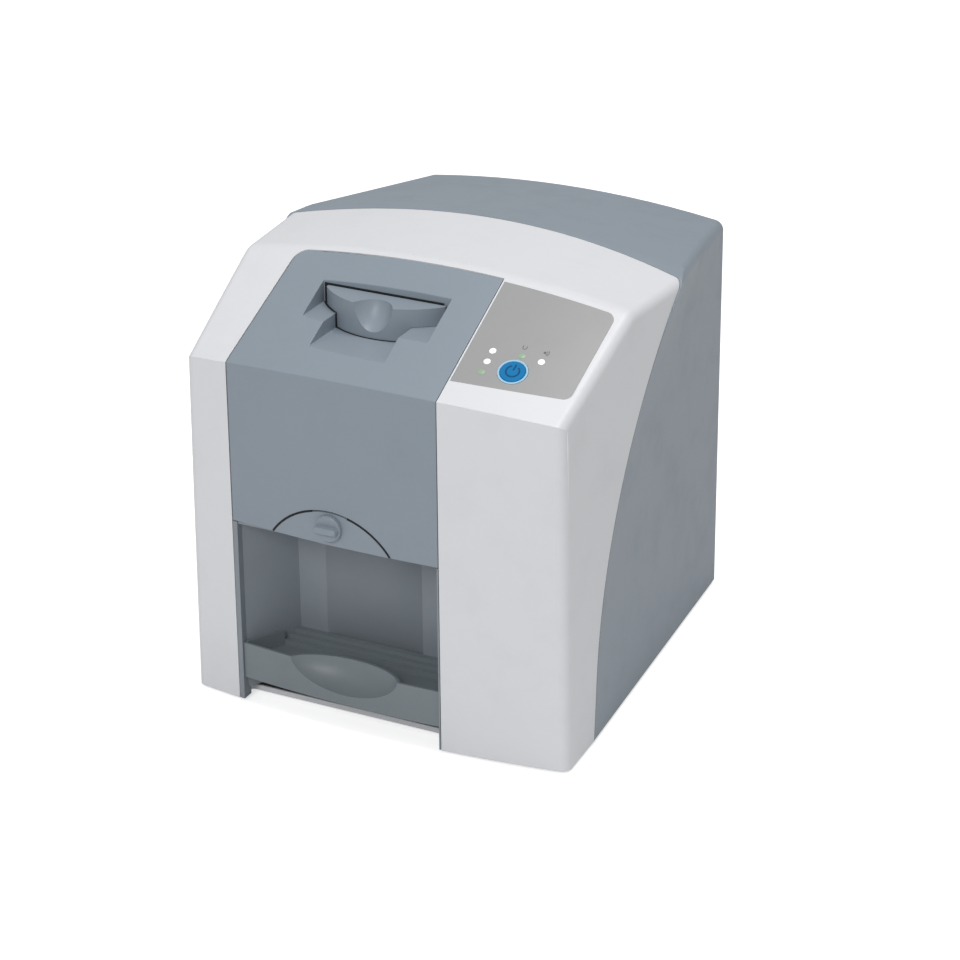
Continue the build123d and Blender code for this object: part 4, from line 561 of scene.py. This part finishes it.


# Black strip in the joint round the half-moon plate, one length on each side of the knob: painted shade,
# standing for the shadow line of the gap
MOON_X = -34.0
MOON_HEIGHT = 133.6
MOON_SHADE_RADIUS = 0.0694
MOON_SHADE_STARTS = (radians(34.9), radians(104.2))
MOON_SHADE_SWEEP = radians(40.9)
MOON_SHADE_SINK = 0.00110
FRONT_BOW = 0.015
BOW_HALF_WIDTH = 0.181


def moon_shade_length(start):
    """One length of the painted shade line, from an angle on."""
    return arc_strip(MOON_SHADE_RADIUS, width=0.0019, thick=0.0012, start=start, sweep=MOON_SHADE_SWEEP, steps=28)


def moon_cord():
    shade_line = joined([moon_shade_length(start) for start in MOON_SHADE_STARTS])
    lay(shade_line, Matrix.Translation(place(MOON_X, 0, MOON_HEIGHT)) @ Matrix.Rotation(pi / 2, 4, "X"))
    for vertex in shade_line.data.vertices:
        vertex.co.y += MOON_SHADE_SINK - FRONT_BOW * (1 - (vertex.co.x / BOW_HALF_WIDTH) ** 2)
    settle(shade_line, "moon_cord", seal_felt, "cover")


moon_cord()


# Dark strip in the joint between the two housings: painted shade, standing for the shadow in the gap
SEAM_FOOT_HEIGHT = 60.0
SEAM_FOOT_DEPTH = 59.0
SEAM_RADIUS = 416.0
SEAM_HALF_GAP = 0.3
SEAM_SLACK = 0.12
STRIP_THICK = 0.00055


def seam_depth(height):
    """Depth of the joint's middle at a height: upright at its foot, and an arc above."""
    rise = max(0.0, height - SEAM_FOOT_HEIGHT)
    return SEAM_FOOT_DEPTH + SEAM_RADIUS - sqrt(SEAM_RADIUS**2 - rise**2)


def on_seam(spot):
    """Whether a point lies on the face that the front housing turns to the rear one."""
    height = (spot.z - FOOT_OUT) * 1000
    depth = (spot.y - FRONT_Y) * 1000
    return abs(depth - (seam_depth(height) - SEAM_HALF_GAP)) < SEAM_SLACK


def seam_strip():
    strip = opened_copy("front_housing", "seam_strip")
    body = bmesh.from_edit_mesh(strip.data)
    stray = [face for face in body.faces if not all(on_seam(v.co) for v in face.verts)]
    bmesh.ops.delete(body, geom=stray, context="FACES")
    bmesh.update_edit_mesh(strip.data)
    bpy.ops.mesh.select_all(action="SELECT")
    bpy.ops.mesh.extrude_region_move(TRANSFORM_OT_translate={"value": (0, STRIP_THICK, 0)})
    end_editing()
    settle(strip, "seam_strip", seal_felt, "housing")


seam_strip()


# Black strip on the front of the bay's floor, seen as a dark line under the tray: painted shade, standing for
# the shadow gap behind the lip
BAY_X = -31.35
BAY_FLOOR_FRONT = 14.5
BAY_FLOOR_FOOT = 5.1


def bay_felt():
    strip = flat_bar(width=0.1941, length=0.0003, thick=0.0040)
    lay(strip, Matrix.Translation(place(BAY_X, BAY_FLOOR_FRONT, BAY_FLOOR_FOOT)))
    settle(strip, "bay_felt", seal_felt, "housing")


bay_felt()


# The sloping front, for what lies on the control label
RIDGE_HEIGHT = 391.5
CROWN_RADIUS = 1020.0
CROWN_AXIS = RIDGE_HEIGHT - CROWN_RADIUS
BREAK_DEPTH = 115.0
BREAK_HEIGHT = 389.3
SLOPE_RISE = 0.506


def slope_frame(x, depth, lift=0.0):
    """Place on the sloping front: x to the right, y up the slope, z away from it."""
    radius = BREAK_HEIGHT - SLOPE_RISE * (BREAK_DEPTH - depth) - CROWN_AXIS
    rise = sqrt(radius**2 - x**2)
    normal = Vector((x, -SLOPE_RISE * radius, rise)).normalized()
    right = Vector((rise, 0, -x)).normalized()
    turn = Matrix((right, normal.cross(right), normal)).transposed().to_4x4()
    return Matrix.Translation(place(x, depth, CROWN_AXIS + rise) + normal * lift / 1000) @ turn


# Power symbol on the cap of the button
BUTTON_X = 115.0
BUTTON_DEPTH = 31.4
BUTTON_OUT = 0.98
SYMBOL_LINE = 0.0014
SYMBOL_THICK = 0.00018
SYMBOL_GAP_END = radians(120)
SYMBOL_SWEEP = radians(300)
SYMBOL_BAR_Y = 0.0042


def power_symbol():
    ring = arc_strip(0.0056, SYMBOL_LINE, SYMBOL_THICK, start=SYMBOL_GAP_END, sweep=SYMBOL_SWEEP, steps=48)
    bar = flat_bar(SYMBOL_LINE, length=0.0060, thick=SYMBOL_THICK)
    lay(bar, Matrix.Translation((0, SYMBOL_BAR_Y, 0)))
    symbol = joined([ring, bar])
    lay(symbol, slope_frame(BUTTON_X, BUTTON_DEPTH, BUTTON_OUT))
    settle(symbol, "power_symbol", symbol_print, "button")


power_symbol()


# Domed lenses over the light windows: three white ones and two green ones
WINDOWS = [
    (90.5, 44.5, window_white),
    (90.5, 34.0, window_white),
    (90.5, 23.5, window_green),
    (115.5, 47.3, window_green),
    (133.0, 47.5, window_white),
]
WINDOW_RADIUS = 0.0029
WINDOW_LIFT = 0.18
DOME_STEPS = [(0.92, 0.00010), (0.80, 0.00010), (0.66, 0.00008), (0.45, 0.00006)]


def window_lens():
    """Disc drawn up in steps that grow narrower, as a shallow dome."""
    bpy.ops.object.select_all(action="DESELECT")
    bpy.ops.mesh.primitive_circle_add(vertices=28, radius=WINDOW_RADIUS, fill_type="NGON")
    piece = bpy.context.object
    bpy.ops.object.mode_set(mode="EDIT")
    bpy.ops.mesh.select_all(action="SELECT")
    for narrowing, lift in DOME_STEPS:
        bpy.ops.mesh.extrude_region_move(TRANSFORM_OT_translate={"value": (0, 0, lift)})
        bpy.ops.transform.resize(value=(narrowing, narrowing, 1))
    end_editing()
    bpy.ops.object.shade_smooth_by_angle(angle=radians(40))
    return piece


def window_lenses():
    lenses = copies(window_lens(), len(WINDOWS))
    for number, (lens, (x, depth, glow)) in enumerate(zip(lenses, WINDOWS), 1):
        lay(lens, slope_frame(x, depth, WINDOW_LIFT))
        settle(lens, f"window_lens_{number}", glow, "housing")


window_lenses()


# Small printed pictograms by two of the windows: a cradle, and a dot that sends out two waves
PRINT_THICK = 0.00006
CRADLE_X = 114.3
CRADLE_DEPTH = 55.4
CRADLE_LINE = 0.0006
CRADLE_HALF = 0.0017
CRADLE_ARM = 0.0018
BEAM_X = 132.0
BEAM_DEPTH = 56.4
WAVE_LINE = 0.0005


def cradle_sign():
    cup = arc_strip(CRADLE_HALF, CRADLE_LINE, PRINT_THICK, start=radians(180), sweep=radians(180), steps=16)
    parts = [cup]
    for x in (-CRADLE_HALF, CRADLE_HALF):
        arm = flat_bar(CRADLE_LINE, CRADLE_ARM, PRINT_THICK)
        lay(arm, Matrix.Translation((x, CRADLE_ARM / 2, 0)))
        parts.append(arm)
    cradle = joined(parts)
    lay(cradle, slope_frame(CRADLE_X, CRADLE_DEPTH))
    settle(cradle, "cradle_sign", print_grey, "housing")


def beam_sign():
    dot = arc_strip(radius=0.0007, width=0.0010, thick=PRINT_THICK, start=0, sweep=FULL_TURN, steps=16)
    near_wave = arc_strip(0.0023, WAVE_LINE, PRINT_THICK, start=radians(-55), sweep=radians(110), steps=14)
    far_wave = arc_strip(0.0036, WAVE_LINE, PRINT_THICK, start=radians(-50), sweep=radians(100), steps=14)
    beam = joined([dot, near_wave, far_wave])
    lay(beam, slope_frame(BEAM_X, BEAM_DEPTH))
    settle(beam, "beam_sign", print_grey, "housing")


cradle_sign()
beam_sign()


# Cross-head screws of the rear panel and of the fan
HEAD_RADIUS = 0.0029
HEAD_HEIGHT = 0.0015
HEAD_EDGE = 0.0008
CROSS_LINE = 0.0008
CROSS_SPAN = 0.0034
CROSS_FLOOR = 0.0006
CROSS_TALL = 0.002
PANEL_REAR = 386.0
PANEL_SCREWS = [(x, h) for x in (-140.5, 140.5) for h in (22, 128, 232, 336)] + [(-70, 357.5), (70, 357.5)]
FAN_X = 60
FAN_HEIGHT = 255
FAN_SCREW_SIDES = (-35.75, 35.75)
FAN_SCREWS = [(FAN_X + x, FAN_HEIGHT + h) for x in FAN_SCREW_SIDES for h in FAN_SCREW_SIDES]
SCREW_TWIST = 37


def pan_screw():
    """Round head with a softened rim and a cross cut into it."""
    bpy.ops.object.select_all(action="DESELECT")
    bpy.ops.mesh.primitive_cylinder_add(
        vertices=28, radius=HEAD_RADIUS, depth=HEAD_HEIGHT, location=(0, 0, HEAD_HEIGHT / 2),
    )
    head = bpy.context.object
    bpy.ops.object.transform_apply(location=True, rotation=True, scale=True)
    bpy.ops.object.mode_set(mode="EDIT")
    choose_edges_above(head, HEAD_HEIGHT * 0.9)
    bpy.ops.mesh.bevel(offset=HEAD_EDGE, segments=4)
    bpy.ops.object.mode_set(mode="OBJECT")
    upright = flat_bar(CROSS_LINE, CROSS_SPAN, CROSS_TALL)
    level = flat_bar(CROSS_SPAN, CROSS_LINE, CROSS_TALL)
    cross = joined([upright, level])
    lay(cross, Matrix.Translation((0, 0, CROSS_FLOOR)))
    cut_out(head, cross)
    bpy.ops.object.shade_smooth_by_angle(angle=radians(35))
    return head


def rear_screws():
    spots = PANEL_SCREWS + FAN_SCREWS
    screws = copies(pan_screw(), len(spots))
    outward = Matrix.Rotation(-pi / 2, 4, "X")
    for number, (screw, (x, height)) in enumerate(zip(screws, spots), 1):
        twist = Matrix.Rotation(radians(SCREW_TWIST * number), 4, "Z")
        lay(screw, Matrix.Translation(place(x, PANEL_REAR, height)) @ outward @ twist)
        settle(screw, f"rear_screw_{number}", turned_steel, "housing")


rear_screws()


# I and O on the two facets of the mains switch's rocker
ROCKER_PIVOT = place(-50.0, 379.0, 48.0)
ROCKER_REST = radians(-8)
FACET_LEAN = atan2(2.0, 11.2)
FACET_OUT = 0.0066
FACET_MIDDLE = 0.0060
MARK_THICK = 0.00015


def rocker_marks():
    on_mark = flat_bar(width=0.0008, length=0.0042, thick=MARK_THICK)
    off_mark = arc_strip(radius=0.0018, width=0.0007, thick=MARK_THICK, start=0, sweep=FULL_TURN, steps=24)
    tilt = Matrix.Translation(ROCKER_PIVOT) @ Matrix.Rotation(ROCKER_REST, 4, "X")
    for mark, name, side in ((on_mark, "on_mark", 1), (off_mark, "off_mark", -1)):
        facet = Matrix.Translation((0, FACET_OUT, side * FACET_MIDDLE))
        lay(mark, tilt @ facet @ Matrix.Rotation(-side * FACET_LEAN - pi / 2, 4, "X"))
        settle(mark, name, roller_white, "rocker")


rocker_marks()


# Pale floor, which glows towards the camera so that it shows white
FLOOR_GLOW = 0.62

bpy.ops.object.select_all(action="DESELECT")
bpy.ops.mesh.primitive_plane_add(size=12, location=(0, 2, 0))
floor = bpy.context.object
floor.name = "floor"
pale = bpy.data.materials.new("pale_floor")
pale.use_nodes = True
pale_shader = pale.node_tree.nodes["Principled BSDF"]
pale_shader.inputs["Base Color"].default_value = (0.86, 0.86, 0.86, 1)
pale_shader.inputs["Roughness"].default_value = 0.9
pale_path = pale.node_tree.nodes.new("ShaderNodeLightPath")
pale_gain = math_node(pale.node_tree, "MULTIPLY", pale_path.outputs["Is Camera Ray"], FLOOR_GLOW)
pale_shader.inputs["Emission Color"].default_value = (1, 1, 1, 1)
pale.node_tree.links.new(pale_gain, pale_shader.inputs["Emission Strength"])
floor.data.materials.append(pale)


# Studio round the device: a soft light on it, and white to the camera and through glass
STUDIO_LIGHT = 0.42
STUDIO_WHITE = 1.0

world = bpy.data.worlds.new("studio")
bpy.context.scene.world = world
world.use_nodes = True
sky = world.node_tree
lit = sky.nodes["Background"]
lit.inputs["Color"].default_value = (1, 1, 1, 1)
lit.inputs["Strength"].default_value = STUDIO_LIGHT
seen = sky.nodes.new("ShaderNodeBackground")
seen.inputs["Color"].default_value = (1, 1, 1, 1)
seen.inputs["Strength"].default_value = STUDIO_WHITE
path = sky.nodes.new("ShaderNodeLightPath")
direct = math_node(sky, "ADD", path.outputs["Is Camera Ray"], path.outputs["Is Transmission Ray"])
mix = sky.nodes.new("ShaderNodeMixShader")
sky.links.new(direct, mix.inputs[0])
sky.links.new(lit.outputs[0], mix.inputs[1])
sky.links.new(seen.outputs[0], mix.inputs[2])
sky.links.new(mix.outputs[0], sky.nodes["World Output"].inputs["Surface"])


# Two soft lamps, one from the front and one from above
def soft_lamp(name, spot, aim, size, power):
    """Round area lamp at a spot, turned to its aim."""
    lamp = bpy.data.lights.new(name, "AREA")
    lamp.shape = "DISK"
    lamp.size = size
    lamp.energy = power
    holder = bpy.data.objects.new(name, lamp)
    holder.location = spot
    holder.rotation_euler = (Vector(aim) - Vector(spot)).to_track_quat("-Z", "Y").to_euler()
    bpy.context.scene.collection.objects.link(holder)


soft_lamp("key_lamp", spot=(0.1, -2.5, 1.8), aim=(0, 0, 0.2), size=1.1, power=24)
soft_lamp("roof_lamp", spot=(0.4, 0.1, 2.8), aim=(0, 0, 0.3), size=1.3, power=30)


# Camera at the photograph's viewing angle
CAMERA_PLACE = place(1177.714, -2111.107, 1346.350)
TO_RIGHT = Vector((0.89235243, 0.45126997, -0.00790923))
TO_FOOT = Vector((0.18247419, -0.37674606, -0.90816605))
AHEAD = Vector((-0.41280783, 0.80896095, -0.41853539))

camera = bpy.data.objects.new("camera", bpy.data.cameras.new("camera"))
bpy.context.scene.collection.objects.link(camera)
camera.data.sensor_width = 36.0
camera.data.lens = 120.134
camera.data.clip_end = 30
camera_turn = Matrix((TO_RIGHT, -TO_FOOT, -AHEAD)).transposed().to_4x4()
camera.matrix_world = Matrix.Translation(CAMERA_PLACE) @ camera_turn
bpy.context.scene.camera = camera
bpy.context.scene.view_settings.view_transform = "Standard"
